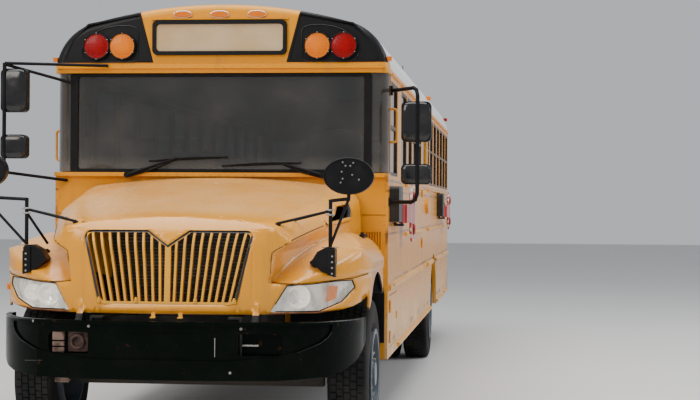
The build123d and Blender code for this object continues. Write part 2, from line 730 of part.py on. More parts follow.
def under_seam():
    """Everything below the fenders' lower edges, on both sides."""
    face = polygon(*SEAM, (1260, 700), (606, 700))
    return both_sides(from_front(face, (COWL_Y - 2000, COWL_Y + 100)))


FENDER_FOOT = (
    # x, z of the fender's lower front corner in the front view
    (880, 970), (1050, 995), (1110, 1012), (1150, 1035), (1185, 1072), (1215, 1120),
)


def below_fenders():
    """Everything under the lower front corners of both fenders, ahead of the wheel arches."""
    face = polygon(*FENDER_FOOT, (1260, 1120), (1260, 900), (880, 900))
    return both_sides(from_front(face, (COWL_Y - 2000, FRONT_AXLE_Y - TYRE_R)))


def stepped_fenders():
    """Fenders whose skin ends proud of the lamp panels below it."""
    under = under_seam()
    return fenders(0) - under + (fenders(SEAM_STEP) & under)


LAMP_OUTLINE = (
    # x, z in the front view
    (631, 988), (728, 1153), (890, 1162), (1000, 1175), (1104, 1180), (1120, 1130), (1045, 1040), (915, 985),
)


def lamp_prism(shrink):
    """Front view of the left headlamp as a prism through the nose."""
    face = polygon(*LAMP_OUTLINE)
    face = offset(face, amount=-shrink) if shrink else face
    return from_front(face, (COWL_Y - 1900, COWL_Y - 1150))


SCOOP = (
    # station behind the cowl, z of the air intake in the left side of the bonnet
    (-1020, 1535), (-460, 1567), (-400, 1660), (-700, 1640),
)
SCOOP_LIP = 20


def scoop_face(grow):
    """Side view of the air intake."""
    face = polygon(*[(aft(y), z) for y, z in SCOOP])
    return offset(face, amount=grow) if grow else face


def hood():
    """Bonnet shell with fenders, wheel arches, grille and lamp openings, air intake and hinge lugs."""
    shell = hood_core(0) + stepped_fenders()
    lip = from_side(scoop_face(SCOOP_LIP), (700, 1100)) & hood_core(-9)
    shell += lip
    shell -= hood_core(HOOD_SKIN)
    shell -= fenders(HOOD_SKIN)
    shell -= from_side(scoop_face(0), (700, 1100))
    shell -= block((-FENDER_HALF - 50, FENDER_HALF + 50), (COWL_Y - 1900, COWL_Y + 400), (600, HOOD_BASE_Z))
    shell -= block((-FENDER_HALF - 50, FENDER_HALF + 50), (HOOD_REAR_Y, COWL_Y + 400), (600, 1950))
    for side in (-1, 1):
        shell -= from_side(Pos(FRONT_AXLE_Y, TYRE_R) * Circle(ARCH_R), (side * 700, side * (FENDER_HALF + 60)))
    shell -= from_front(grille_outline(0), (COWL_Y - 1900, COWL_Y - 1450))
    shell -= lamp_prism(0)
    shell -= mirrored(lamp_prism(0))
    shell -= below_fenders()
    for side in (-1, 1):
        x = (side * 530, side * 570)
        lug = polygon((HINGE_Y - 8, HINGE_Z), (HINGE_Y + 30, HINGE_Z), (HINGE_Y + 75, HOOD_BASE_Z + 60),
                      (HINGE_Y + 45, HOOD_BASE_Z + 60))
        lug = from_side(lug, x)
        lug += rod((x[0], HINGE_Y, HINGE_Z), (x[1], HINGE_Y, HINGE_Z), 26)
        lug -= rod((x[0], HINGE_Y, HINGE_Z), (x[1], HINGE_Y, HINGE_Z), HINGE_PIN_R + RUN_FIT)
        shell += lug
    return shell


SLATS_A_SIDE = 9
SLAT_HALF_W = 7
CENTRE_BAR_HALF_W = 18


def grille():
    """Upright slats that lean with the sides of the opening, joined by a rim behind its edge."""
    bars = polygon((-CENTRE_BAR_HALF_W, GRILLE_BOTTOM_Z), (CENTRE_BAR_HALF_W, GRILLE_BOTTOM_Z),
                   (CENTRE_BAR_HALF_W, GRILLE_TOP_Z), (-CENTRE_BAR_HALF_W, GRILLE_TOP_Z))
    for side in (-1, 1):
        for slat in range(1, SLATS_A_SIDE + 1):
            share = side * slat / (SLATS_A_SIDE + 1)
            low = share * GRILLE_BOTTOM_HALF
            high = share * GRILLE_TOP_HALF
            bars += polygon((low - SLAT_HALF_W, GRILLE_BOTTOM_Z), (low + SLAT_HALF_W, GRILLE_BOTTOM_Z),
                            (high + SLAT_HALF_W, GRILLE_TOP_Z), (high - SLAT_HALF_W, GRILLE_TOP_Z))
    outline = grille_outline(0)
    rim = outline - grille_outline(16)
    view = (bars & outline) + rim
    side = hood_side(10) - hood_side(45)
    return from_front(view, (COWL_Y - 1900, COWL_Y - 1400)) & from_side(side, (-600, 600))


def headlamps():
    """Both headlamps, each following the nose as one lens and housing."""
    lens = lamp_prism(1.5)
    layer = from_above(nose_plan(SEAM_STEP + 3) - nose_plan(60), (HOOD_BASE_Z, 1300))
    lamp = lens & layer
    return both_sides(lamp)


MIRROR_POST_X = 976
MIRROR_DISC_T = 60


def crossview(side, disc_x, disc_z):
    """Crossview mirror on its post and struts, with the base on the fender."""
    post_y = COWL_Y - 1460
    post_x = side * MIRROR_POST_X
    elbow = (side * disc_x, post_y, 1688)
    base = polygon((side * 845, 1290), (side * 905, 1215), (side * 1000, 1200), (side * 1000, 1345),
                   (side * 925, 1362))
    base = from_front(base, (post_y - 10, post_y + 60))
    post = rod((post_x, post_y, 1240), (post_x, post_y, 1684), 12)
    arm = rod((post_x, post_y, 1675), elbow, 11)
    arm += rod((elbow[0], post_y, 1676), (elbow[0], post_y, disc_z - 60), 11)
    stays = rod((post_x, post_y, 1390), elbow, 9)
    stays += rod((post_x, post_y, 1612), (side * 645, post_y + 110, 1530), 9)
    disc = Pos(side * disc_x, post_y, disc_z) * Rot(90, 0, 0) * extrude(Ellipse(155, 114), MIRROR_DISC_T / 2, both=True)
    return base + post + arm + stays + disc


def crossview_mirrors():
    """Both crossview mirrors, cut to the bonnet's outer face that carries them."""
    bonnet = hood_core(0) + fenders(0)
    left = crossview(1, 1090, 1830)
    right = crossview(-1, 1260, 1860)
    right += rod((-MIRROR_POST_X, COWL_Y - 1460, 1590), (-870, COWL_Y - 1350, 1390), 9)
    return Compound([left - bonnet, right - bonnet])


# Chassis

FUEL_TANK_Y = (2300, 3500)
CROSS_MEMBERS = (-1500, 900, 2300, 3700, 5100, 7200, 8500, 9400)


def frame_rails():
    """Ladder frame: two channel rails, cross members and the bonnet's hinge pins."""
    low, high = RAIL_Z
    pieces = []
    for side in (-1, 1):
        outer = side * (RAIL_X + RAIL_W / 2)
        inner = side * (RAIL_X - RAIL_W / 2)
        web = outer - side * RAIL_T
        channel = polygon((outer, low), (inner, low), (inner, low + RAIL_T), (web, low + RAIL_T),
                          (web, high - RAIL_T), (inner, high - RAIL_T), (inner, high), (outer, high))
        pieces.append(from_front(channel, (aft(-1790), REAR_Y - WALL)))
        pieces.append(rod((outer, HINGE_Y, HINGE_Z), (side * HINGE_PIN_END_X, HINGE_Y, HINGE_Z), HINGE_PIN_R))
    for y in CROSS_MEMBERS:
        pieces.append(block((-RAIL_X, RAIL_X), (aft(y) - 40, aft(y) + 40), (high - 70, high - RAIL_T)))
    return Compound(pieces)


def leaf_spring(side, axle_y, seat_z, half_span):
    """Leaf spring below a frame rail: three leaves of falling length."""
    leaves = None
    for leaf, share in enumerate((1.0, 0.7, 0.4)):
        z = seat_z + 12 * (2 - leaf)
        drop = half_span * share
        low = ThreePointArc((axle_y - drop, z + 60 * share**2), (axle_y, z), (axle_y + drop, z + 60 * share**2))
        high = ThreePointArc((axle_y + drop, z + 12 + 60 * share**2), (axle_y, z + 12),
                             (axle_y - drop, z + 12 + 60 * share**2))
        ends = [Line(low @ 1, high @ 0), Line(high @ 1, low @ 0)]
        blade = from_side(make_face([low, ends[0], high, ends[1]]), (side * (RAIL_X - 38), side * (RAIL_X + 38)))
        leaves = blade if leaves is None else leaves + blade
    return leaves


def front_axle():
    """Dropped beam with a kingpin eye at each end, and its two springs."""
    beam = block((-KINGPIN_X + 60, KINGPIN_X - 60), (FRONT_AXLE_Y - 45, FRONT_AXLE_Y + 45), (420, 500))
    beam += both_sides(block((KINGPIN_X - 100, KINGPIN_X), (FRONT_AXLE_Y - 38, FRONT_AXLE_Y + 38), (480, 540)))
    eye = rod((KINGPIN_X, FRONT_AXLE_Y, 480), (KINGPIN_X, FRONT_AXLE_Y, 540), 38)
    bore = rod((KINGPIN_X, FRONT_AXLE_Y, 400), (KINGPIN_X, FRONT_AXLE_Y, 600), KINGPIN_R + RUN_FIT)
    beam = beam + both_sides(eye) - both_sides(bore)
    for side in (-1, 1):
        beam += leaf_spring(side, FRONT_AXLE_Y, 510, 680)
        beam += block((side * (RAIL_X - 45), side * (RAIL_X + 45)), (FRONT_AXLE_Y - 60, FRONT_AXLE_Y + 60), (490, 512))
        for end in (-1, 1):
            y = FRONT_AXLE_Y + end * 670
            beam += block((side * (RAIL_X - 38), side * (RAIL_X + 38)), (y - 25, y + 25), (590, RAIL_Z[0]))
    return beam


TUBE_R = 68
AXLE_END_R = 45


def rear_axle():
    """Axle housing with its differential, and two springs."""
    axle = rod((-720, 0, 0), (720, 0, 0), TUBE_R) + rod((-1090, 0, 0), (1090, 0, 0), AXLE_END_R)
    axle += rod((-130, 0, 0), (130, 0, 0), 150) + rod((-60, 0, 0), (60, 0, 0), 190)
    axle = Pos(0, REAR_AXLE_Y, TYRE_R) * axle
    for side in (-1, 1):
        spring_x = (side * (RAIL_X - 38), side * (RAIL_X + 38))
        axle += block(spring_x, (REAR_AXLE_Y - 60, REAR_AXLE_Y + 60), (TYRE_R + 20, TYRE_R + 92))
        axle += leaf_spring(side, REAR_AXLE_Y, TYRE_R + 90, 760)
        for end in (-1, 1):
            y = REAR_AXLE_Y + end * 740
            axle += block((side * (RAIL_X - 38), side * (RAIL_X + 38)), (y - 25, y + 25), (680, RAIL_Z[0]))
    return axle


def powertrain():
    """Engine and gearbox as plain blocks, with the propeller shaft back to the rear axle."""
    engine = block((-310, 310), (aft(-1180), aft(-80)), (720, 1480))
    gearbox = block((-230, 230), (aft(-80), aft(620)), (640, 940))
    shaft = rod((0, aft(620), 780), (0, REAR_AXLE_Y - 192, TYRE_R + 20), 50)
    return engine + gearbox + shaft


def radiator():
    """Radiator core behind the grille, between its side tanks."""
    core = block((-400, 400), (aft(-1330), aft(-1270)), (1000, 1470))
    tanks = both_sides(block((400, 450), (aft(-1340), aft(-1260)), (960, 1490)))
    return core + tanks + block((-450, 450), (aft(-1340), aft(-1260)), (RAIL_Z[1], 1000))


def fuel_tank():
    """Fuel tank beside the left frame rail, hung from the sills by two straps."""
    tank = from_front(frame_view((500, 1060), (600, 900), 60), (aft(FUEL_TANK_Y[0]), aft(FUEL_TANK_Y[1])))
    for share in (0.25, 0.75):
        y = aft(FUEL_TANK_Y[0] + share * (FUEL_TANK_Y[1] - FUEL_TANK_Y[0]))
        loop = frame_view((490, 1070), (590, 960), 65) - frame_view((500, 1060), (600, 900), 60)
        tank += from_front(loop, (y - 30, y + 30))
    return tank


def exhaust():
    """Silencer and tail pipe along the right rail to the rear."""
    x = -300
    muffler_x = -640
    z = 640
    pipe = bent_tube([(x, aft(660), z), (x, aft(1300), z), (muffler_x, aft(2000), z), (muffler_x, aft(3000), z)],
                     200, 45)
    silencer = rod((muffler_x, aft(2900), z), (muffler_x, aft(4100), z), 130)
    tail = bent_tube([(muffler_x, aft(4100), z), (muffler_x, aft(4500), z), (x, aft(5100), z), (x, aft(8900), z),
                      (x, aft(9300), 500), (x, REAR_Y + 30, 500)], 150, 45)
    return pipe + silencer + tail


# Wheels

SHOULDER = 24


def tyre(centre_x, shoulders):
    """Tyre turned round the axle line, with its shoulders cut back on the sides named by their signs."""
    half = TYRE_W / 2
    right = SHOULDER if 1 in shoulders else 0
    left = SHOULDER if -1 in shoulders else 0
    profile = [(-half, RIM_R), (half, RIM_R), (half, TYRE_R - right), (half - right, TYRE_R)]
    profile += [(left - half, TYRE_R), (-half, TYRE_R - left)]
    corners = [point for place, point in enumerate(profile) if point not in profile[:place]]
    return Pos(centre_x, 0, 0) * revolve(polygon(*corners), Axis.X)


FLANGE_R = RIM_R + 18
BARREL_R = RIM_R - 14
DISH_R = 190
DISC_T = 14
HAND_HOLES = 5
HAND_HOLE_R = 26


def plain_rim(centre_x, face_x):
    """Barrel of an inner wheel with one flat disc."""
    edge = TYRE_W / 2 + 8
    barrel = ring((-edge, 0, 0), (edge, 0, 0), RIM_R - 0.3, BARREL_R)
    disc = rod((face_x - DISC_T / 2, 0, 0), (face_x + DISC_T / 2, 0, 0), BARREL_R + 1)
    return Pos(centre_x, 0, 0) * (barrel + disc)


def dished_rim(centre_x, face_x, centre_face_x):
    """Barrel with its outer flange and a pressed disc: flat ring with hand holes, step and centre plate."""
    edge = TYRE_W / 2 + 8
    half_t = DISC_T / 2
    barrel = ring((-edge, 0, 0), (edge, 0, 0), RIM_R - 0.3, BARREL_R)
    barrel += ring((edge - 7, 0, 0), (edge, 0, 0), FLANGE_R, BARREL_R)
    step = 1 if centre_face_x > face_x else -1
    disc = ring((face_x - half_t, 0, 0), (face_x + half_t, 0, 0), BARREL_R + 1, DISH_R - DISC_T)
    for count in range(HAND_HOLES):
        hole = rod((face_x - DISC_T, 0, 230), (face_x + DISC_T, 0, 230), HAND_HOLE_R)
        disc -= Rot(360 * count / HAND_HOLES, 0, 0) * hole
    disc += ring((face_x - step * half_t, 0, 0), (centre_face_x + step * half_t, 0, 0), DISH_R, DISH_R - DISC_T)
    disc += rod((centre_face_x - half_t, 0, 0), (centre_face_x + half_t, 0, 0), DISH_R - 1)
    return Pos(centre_x, 0, 0) * (barrel + disc)


def front_wheel(side):
    """Front rim with its hub, bored for the spindle."""
    centre = TYRE_OUT_X - TYRE_W / 2
    wheel = dished_rim(centre, 46, 84)
    wheel += rod((985, 0, 0), (1190, 0, 0), 80)
    wheel -= rod((984, 0, 0), (1110, 0, 0), SPINDLE_R + RUN_FIT)
    wheel = wheel if side > 0 else mirrored(wheel)
    return Pos(0, FRONT_AXLE_Y, TYRE_R) * wheel


def front_tyre(side):
    """Front tyre in its place."""
    solid = tyre(side * (TYRE_OUT_X - TYRE_W / 2), (-1, 1))
    return Pos(0, FRONT_AXLE_Y, TYRE_R) * solid


def rear_wheels(side):
    """Twin rear rims on one hub, bored for the axle tube: the outer dished inwards, the inner flat."""
    outer = TYRE_OUT_X - TYRE_W / 2
    inner = outer - DUAL_PITCH
    wheels = dished_rim(outer, 0, -105) + plain_rim(inner, 100)
    wheels += rod((735, 0, 0), (1135, 0, 0), 100)
    wheels -= rod((734, 0, 0), (1100, 0, 0), AXLE_END_R + RUN_FIT)
    wheels = wheels if side > 0 else mirrored(wheels)
    return Pos(0, REAR_AXLE_Y, TYRE_R) * wheels


def rear_tyres(side):
    """Twin rear tyres of one side."""
    outer = TYRE_OUT_X - TYRE_W / 2
    pair = [tyre(side * outer, (-1, 1)), tyre(side * (outer - DUAL_PITCH), ())]
    return Pos(0, REAR_AXLE_Y, TYRE_R) * Compound(pair)


def knuckle(side):
    """Steering knuckle: kingpin, two yoke arms round the axle's eye and the spindle."""
    arms = block((KINGPIN_X - 38, 966), (-40, 40), (442, 478)) + block((KINGPIN_X - 38, 966), (-40, 40), (542, 578))
    plate = block((942, 966), (-60, 60), (442, 578))
    pin = rod((KINGPIN_X, 0, 442), (KINGPIN_X, 0, 578), KINGPIN_R)
    spindle = rod((960, 0, TYRE_R), (1105, 0, TYRE_R), SPINDLE_R)
    solid = Pos(0, FRONT_AXLE_Y, 0) * (arms + plate + pin + spindle)
    return solid if side > 0 else mirrored(solid)


# Cabin

SEAT_PITCH = 711
SEAT_BANKS = (
    # side, first row behind the cowl, rows
    (-1, 1500, 11),
    (1, 1500, 3),
    (1, 4990, 6),
)
BENCH_X = (225, BODY_HALF - WALL)


def seat_profile(y, back_z):
    """Side view of a seat: cushion and leaning back in one piece."""
    return polygon((y, FLOOR_Z + 250), (y + 10, FLOOR_Z + 410), (y + 50, FLOOR_Z + 430), (y + 390, FLOOR_Z + 400),
                   (y + 440, back_z), (y + 530, back_z), (y + 480, FLOOR_Z + 250))


def passenger_seats():
    """Benches of both sides, each carried by the wall and by one pair of legs at the aisle."""
    seats = []
    for side, first, rows in SEAT_BANKS:
        for row in range(rows):
            y = aft(first + row * SEAT_PITCH)
            bench = from_side(seat_profile(y, FLOOR_Z + 1020), (side * BENCH_X[0], side * BENCH_X[1]))
            for leg in (60, 400):
                bench += block((side * 300, side * 330), (y + leg, y + leg + 40), (FLOOR_Z, FLOOR_Z + 260))
            seats.append(bench)
    return Compound(seats)


DRIVER_X = (470, 930)
WHEEL_CENTRE = (700, COWL_Y + 400, 1830)
STEERING_R = 230


def driver_seat():
    """Driver's seat on its pedestal."""
    y = aft(620)
    seat = from_side(seat_profile(y, FLOOR_Z + 1180), DRIVER_X)
    return seat + block((DRIVER_X[0] + 80, DRIVER_X[1] - 80), (y + 80, y + 400), (FLOOR_Z, FLOOR_Z + 251))


def dashboard():
    """Instrument panel behind the windscreen, with the steering wheel on its column."""
    face = polygon((aft(WALL), 1300), (aft(330), 1420), (aft(330), 1700), (aft(250), 1800), (aft(WALL), 1840))
    panel = from_side(face, (-420, 1150))
    column = rod((WHEEL_CENTRE[0], aft(180), 1620), WHEEL_CENTRE, 30)
    lean = Pos(*WHEEL_CENTRE) * Rot(-46, 0, 0)
    rim_ring = lean * (extrude(Circle(STEERING_R) - Circle(STEERING_R - 28), 14, both=True))
    spokes = lean * (Box(2 * STEERING_R - 30, 40, 16) + Box(40, 2 * STEERING_R - 30, 16))
    return panel + column + rim_ring + spokes


# Lamps, mirrors and trim

def outside_body(shape):
    """What of a shape lies outside the body's cross-section."""
    return shape - from_front(body_section(0, SKIRT_Z), (CAP_FRONT_Y, REAR_Y))


def disc_lamp(x, z, radius, y, depth):
    """Round lamp on the front or rear face; depth points outwards along Y."""
    return from_front(Pos(x, z) * Circle(radius), (y, y + depth))


WARNING_Z = 2790
RED_X = 900
AMBER_X = 710
WARNING_R = 89
BRAKE_Z = 1520
TURN_Z = 1300
LAMP_X = 840


def red_lamps():
    """Red warning lamps, brake and tail lamps and rear roof markers."""
    lamps = []
    for side in (-1, 1):
        lamps.append(disc_lamp(side * RED_X, WARNING_Z, WARNING_R, CAP_FRONT_Y, -30))
        lamps.append(disc_lamp(side * RED_X, WARNING_Z, WARNING_R, REAR_Y, 30))
        lamps.append(disc_lamp(side * LAMP_X, BRAKE_Z, WARNING_R, REAR_Y, 25))
        lamps.append(disc_lamp(side * (LAMP_X + 190), BRAKE_Z, 52, REAR_Y, 25))
        lamps.append(outside_body(block((side * 1140, side * 1215), (aft(9380), aft(9440)), (2760, 2800))))
    for x in (-270, 0, 270):
        lamps.append(from_front(Pos(x, 3020) * Ellipse(60, 28), (REAR_Y, REAR_Y + 20)))
    return Compound(lamps)


def amber_lamps():
    """Amber warning lamps, front roof markers, turn signals and side markers."""
    lamps = []
    for side in (-1, 1):
        lamps.append(disc_lamp(side * AMBER_X, WARNING_Z, WARNING_R, CAP_FRONT_Y, -30))
        lamps.append(disc_lamp(side * AMBER_X, WARNING_Z, WARNING_R, REAR_Y, 30))
        lamps.append(disc_lamp(side * LAMP_X, TURN_Z, WARNING_R, REAR_Y, 25))
        lamps.append(outside_body(block((side * 1150, side * 1238), (aft(-20), aft(40)), (2685, 2715))))
        lamps.append(outside_body(block((side * 1100, side * 1200), (aft(5760), aft(5820)), (2790, 2830))))
    for x in (-270, 0, 270):
        lamps.append(from_front(Pos(x, 3018) * Ellipse(64, 22), (CAP_FRONT_Y, CAP_FRONT_Y - 20)))
    return Compound(lamps)


def sign_panel():
    """Blank destination panel in its raised rubber surround."""
    outer = frame_view((-490, 490), (2725, 2977), 40)
    inner = frame_view((-462, 462), (2753, 2949), 20)
    surround = from_front(outer - inner, (CAP_FRONT_Y - 24, CAP_FRONT_Y))
    return surround + from_front(outer, (CAP_FRONT_Y - 12, CAP_FRONT_Y))


def windscreen_seal():
    """Black rubber surround and posts of the front glass."""
    ring_face = frame_view((-1100, 1100), (1881, 2598), 20)
    ring_face -= frame_view((-1045, 1045), (1905, 2572), 20)
    return from_front(ring_face, (COWL_Y - 34, COWL_Y - 20))


WIPERS = (
    # pivot x, pivot z, arm end x, arm end z, blade start x and z, blade end x and z
    (-674, 1862, -307, 1984, -513, 1962, 58, 1992),
    (755, 1862, 465, 1944, 22, 1928, 595, 1951),
)


def wipers():
    """Two wiper arms and blades in front of the glass."""
    arms = []
    for pivot_x, pivot_z, end_x, end_z, from_x, from_z, to_x, to_z in WIPERS:
        y = COWL_Y - 52
        arm = rod((pivot_x, COWL_Y - 40, pivot_z), (pivot_x, y - 12, pivot_z), 22)
        arm += rod((pivot_x, y, pivot_z), (end_x, y, end_z), 8)
        blade = rod((from_x, y + 9, from_z), (to_x, y + 9, to_z), 7)
        arms.append(arm + blade)
    return Compound(arms)


def mirror_head(x, z, y):
    """Rounded mirror housing whose back touches the tube at y."""
    return from_front(frame_view(x, z, 35), (y + 8, y + 85))


def rearview_mirrors():
    """Driver's and passenger's mirrors: two heads on a tube bent back to the body."""
    y = aft(-150)
    tube = bent_tube([(BODY_HALF + 14, aft(175), 2484), (1435, y, 2484), (1435, y, 1675),
                      (BODY_HALF + 14, aft(30), 1675)], 60, 14)
    tube += block((BODY_HALF, BODY_HALF + 16), (aft(145), aft(205)), (2450, 2518))
    tube += block((BODY_HALF, BODY_HALF + 16), (aft(5), aft(55)), (1645, 1705))
    left = tube + mirror_head((1319, 1530), (2100, 2385), y) + mirror_head((1319, 1530), (1800, 1944), y)
    y = aft(-330)
    x = -1500
    right = rod((x, y, 1860), (x, y, 2650), 14)
    right += rod((x, y, 2648), (-810, aft(-82), 2648), 11) + rod((x, y, 2640), (-1085, aft(-44), 2526), 11)
    right += rod((x, y, 1872), (-1130, aft(-10), 1820), 11)
    right += mirror_head((-1530, -1340), (2300, 2610), y) + mirror_head((-1530, -1340), (1970, 2140), y)
    return Compound([left, right])


def grab_handles():
    """Bent grab handles on both front corners."""
    handles = []
    for side, low, high in ((1, 2110, 2350), (-1, 1970, 2190)):
        near = side * BODY_HALF
        far = side * (BODY_HALF + 45)
        y = aft(175)
        handles.append(bent_tube([(near, y, high), (far, y, high), (far, y, low), (near, y, low)], 20, 9))
    return Compound(handles)


def mud_flaps():
    """Rubber flaps hung behind the rear wheels."""
    flaps = []
    for side in (-1, 1):
        flaps.append(block((side * 600, side * 1170), (aft(6830), aft(6842)), (300, RAIL_Z[1] + 80)))
    return Compound(flaps)


def bumper_plan(inset):
    """Plan view inside the front bumper's outer face, closed straight across its tips."""
    edges = [
        Line((1177, aft(-1180)), (1166, aft(-1230))),
        ThreePointArc((1166, aft(-1230)), (1042, aft(-1565)), (800, aft(-1790))),
        ThreePointArc((800, aft(-1790)), (0, aft(-1900)), (-800, aft(-1790))),
        ThreePointArc((-800, aft(-1790)), (-1042, aft(-1565)), (-1166, aft(-1230))),
        Line((-1166, aft(-1230)), (-1177, aft(-1180))),
        Line((-1177, aft(-1180)), (1177, aft(-1180))),
    ]
    face = make_face(edges)
    return offset(face, amount=-inset) if inset else face


FRONT_BUMPER_Z = (582, 936)
BUMPER_T = 36
BUMPER_FACE_T = 12
PLATE_RECESS_Y = BUMPER_FRONT_Y + 22
PLATE_HALF_W = 345
PLATE_Z = (712, 872)
PLATE_HOLE_X = 88.9
PLATE_HOLE_Z = 790
BUMPER_TIPS = (
    # x, z of the bumper's lower outline towards its left tip
    (700, 582), (990, 597), (1075, 622), (1135, 672), (1185, 800),
)
SMILE = (
    # x, z of the recess along the bumper's face
    (1010, 912), (1006, 872), (985, 840), (945, 808), (821, 758), (700, 730), (450, 703),
)
HOOK_X = (447, 728)
HOOK_Z = (732, 864)
PLATE_HOLE_R = 3.5
REAR_BUMPER_Z = (560, 800)


def front_bumper():
    """Bowed front bumper: swept tips, a long curved recess, two tow hook openings and the plate's flat."""
    outer = bumper_plan(0)
    bar = outer - bumper_plan(BUMPER_T) - Pos(0, BUMPER_T + 20) * bumper_plan(BUMPER_T)
    left_low = list(BUMPER_TIPS)
    right_low = [(-x, z) for x, z in reversed(left_low)]
    front = polygon(*left_low, (1185, FRONT_BUMPER_Z[1]), (-1185, FRONT_BUMPER_Z[1]), *right_low)
    solid = from_above(bar, FRONT_BUMPER_Z) & from_front(front, (aft(-2000), aft(-1000)))
    left_smile = list(SMILE)
    right_smile = [(-x, z) for x, z in reversed(left_smile)]
    recess = from_front(polygon(*left_smile, *right_smile), (aft(-2000), aft(-1200)))
    solid -= recess & from_above(outer - bumper_plan(BUMPER_FACE_T), FRONT_BUMPER_Z)
    solid -= block((-PLATE_HALF_W, PLATE_HALF_W), (BUMPER_FRONT_Y - 1, PLATE_RECESS_Y), PLATE_Z)
    for side in (-1, 1):
        opening = frame_view((side * HOOK_X[0], side * HOOK_X[1]), HOOK_Z, 40)
        solid -= from_front(opening, (aft(-1950), aft(-1700)))
    bracket = block((RAIL_X - 35, RAIL_X + 35), (aft(-1850), aft(-1790)), (RAIL_Z[0] + 14, FRONT_BUMPER_Z[1] - 20))
    bracket &= from_above(bumper_plan(BUMPER_FACE_T + 2), FRONT_BUMPER_Z)
    solid += both_sides(bracket)
    hole = from_front(Pos(PLATE_HOLE_X, PLATE_HOLE_Z) * Circle(PLATE_HOLE_R), (BUMPER_FRONT_Y - 1, aft(-1800)))
    return solid - both_sides(hole)


def rear_bumper():
    """Straight channel bumper across the rear, with closed ends."""
    low, high = REAR_BUMPER_Z
    back = BUMPER_REAR_Y
    channel = polygon((REAR_Y, low), (back, low), (back, high), (REAR_Y, high), (REAR_Y, high - 12),
                      (back - 12, high - 12), (back - 12, low + 12), (REAR_Y, low + 12))
    bar = from_side(channel, (-BODY_HALF, BODY_HALF))
    ends = block((BODY_HALF - 12, BODY_HALF), (REAR_Y, back), (low, high))
    horns = block((RAIL_X - 30, RAIL_X + 30), (REAR_Y, back - 12), (RAIL_Z[0] + 20, high - 12))
    return bar + both_sides(ends) + both_sides(horns)


def build():
    """Every node of the bus by name."""
    nodes = {
        "frame_rails": frame_rails(),
        "front_axle": front_axle(),
        "rear_axle": rear_axle(),
        "powertrain": powertrain(),
        "radiator": radiator(),
        "fuel_tank": fuel_tank(),
        "exhaust": exhaust(),
        "floor": floor(),
        "entrance_steps": entrance_steps(),
        "side_left": side_wall(1),
        "side_right": side_wall(-1),
        "roof": roof(),
        "front_cap": front_cap(),
        "cowl": cowl(),
        "windscreen": windscreen(),
        "windscreen_seal": windscreen_seal(),
        "rear_wall": rear_wall(),
        "window_panes": window_panes(),
        "window_sashes": window_sashes(),
        "rub_rails": rub_rails(),
        "front_bumper": front_bumper(),
        "rear_bumper": rear_bumper(),
        "passenger_seats": passenger_seats(),
        "driver_seat": driver_seat(),
        "dashboard": dashboard(),
        "rearview_mirrors": rearview_mirrors(),
        "red_lamps": red_lamps(),
        "amber_lamps": amber_lamps(),
        "sign_panel": sign_panel(),
        "wipers": wipers(),
        "grab_handles": grab_handles(),
        "mud_flaps": mud_flaps(),
        "battery_box": battery_box(),
        "stop_arm_brackets": stop_arm_brackets(),
        "hood": hood(),
        "grille": grille(),
        "headlamps": headlamps(),
        "crossview_mirrors": crossview_mirrors(),
        "side_exit_door": side_exit_door(),
        "side_exit_pane": side_exit_pane(),
        "rear_exit_door": rear_exit_door(),
        "rear_exit_panes": rear_exit_panes(),
        "battery_door": battery_door(),
    }
    leaf_y = {
        "front": (aft(ENTRANCE[0]) + GAP, aft(ENTRANCE_MID) - GAP, 1),
        "rear": (aft(ENTRANCE_MID) + GAP, aft(ENTRANCE[1]) - GAP, -1),
    }
    for name, (low, high, inwards) in leaf_y.items():
        y = (low, high)
        nodes["entrance_leaf_" + name] = entrance_leaf(y, low if inwards > 0 else high, inwards)
        nodes["entrance_panes_" + name] = entrance_panes(y)
    for node, hinge, centre, z in STOP_ARMS:
        nodes[node] = stop_arm(hinge, centre, z)
    for side, name in ((1, "left"), (-1, "right")):
        nodes["knuckle_" + name] = knuckle(side)
        nodes["front_tyre_" + name] = front_tyre(side)
        nodes["front_wheel_" + name] = front_wheel(side)
        nodes["rear_tyres_" + name] = rear_tyres(side)
        nodes["rear_wheels_" + name] = rear_wheels(side)
    return nodes


os.makedirs("parts", exist_ok=True)
for node_name, solid in build().items():
    export_step(solid, "parts/" + node_name + ".step")
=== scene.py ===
"""Looks of the school bus. Metres, +Z up, front towards -Y, its left side at +X."""
import json
import math
import bpy
import bmesh
from mathutils import Matrix, Vector
from mathutils.bvhtree import BVHTree


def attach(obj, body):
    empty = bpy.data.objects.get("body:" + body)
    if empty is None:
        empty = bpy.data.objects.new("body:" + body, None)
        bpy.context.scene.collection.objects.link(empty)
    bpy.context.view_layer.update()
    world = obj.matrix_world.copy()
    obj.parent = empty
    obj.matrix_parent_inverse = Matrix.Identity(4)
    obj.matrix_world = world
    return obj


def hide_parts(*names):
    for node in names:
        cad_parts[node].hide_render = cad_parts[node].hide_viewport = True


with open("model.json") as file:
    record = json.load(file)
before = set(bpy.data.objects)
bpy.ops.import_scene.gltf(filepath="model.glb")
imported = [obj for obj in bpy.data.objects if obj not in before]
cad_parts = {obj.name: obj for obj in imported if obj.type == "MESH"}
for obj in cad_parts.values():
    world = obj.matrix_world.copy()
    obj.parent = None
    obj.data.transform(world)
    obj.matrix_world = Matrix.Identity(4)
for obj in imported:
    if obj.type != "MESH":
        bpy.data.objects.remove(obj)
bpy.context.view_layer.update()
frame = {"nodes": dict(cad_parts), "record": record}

# Places shared with the model
COWL_Y = -3.875
CAP_FRONT_Y = COWL_Y - 0.05
BODY_HALF = 1.219
REAR_Y = 5.675
EAVE_Z = 2.6
ROOF_Z = 3.095
CORNER_R = 0.38
NOSE_Y = COWL_Y - 1.76
FRONT_AXLE_Y = COWL_Y - 0.6
REAR_AXLE_Y = COWL_Y + 6.19
HUB_Z = 0.51
WINDOW_PITCH = 0.711


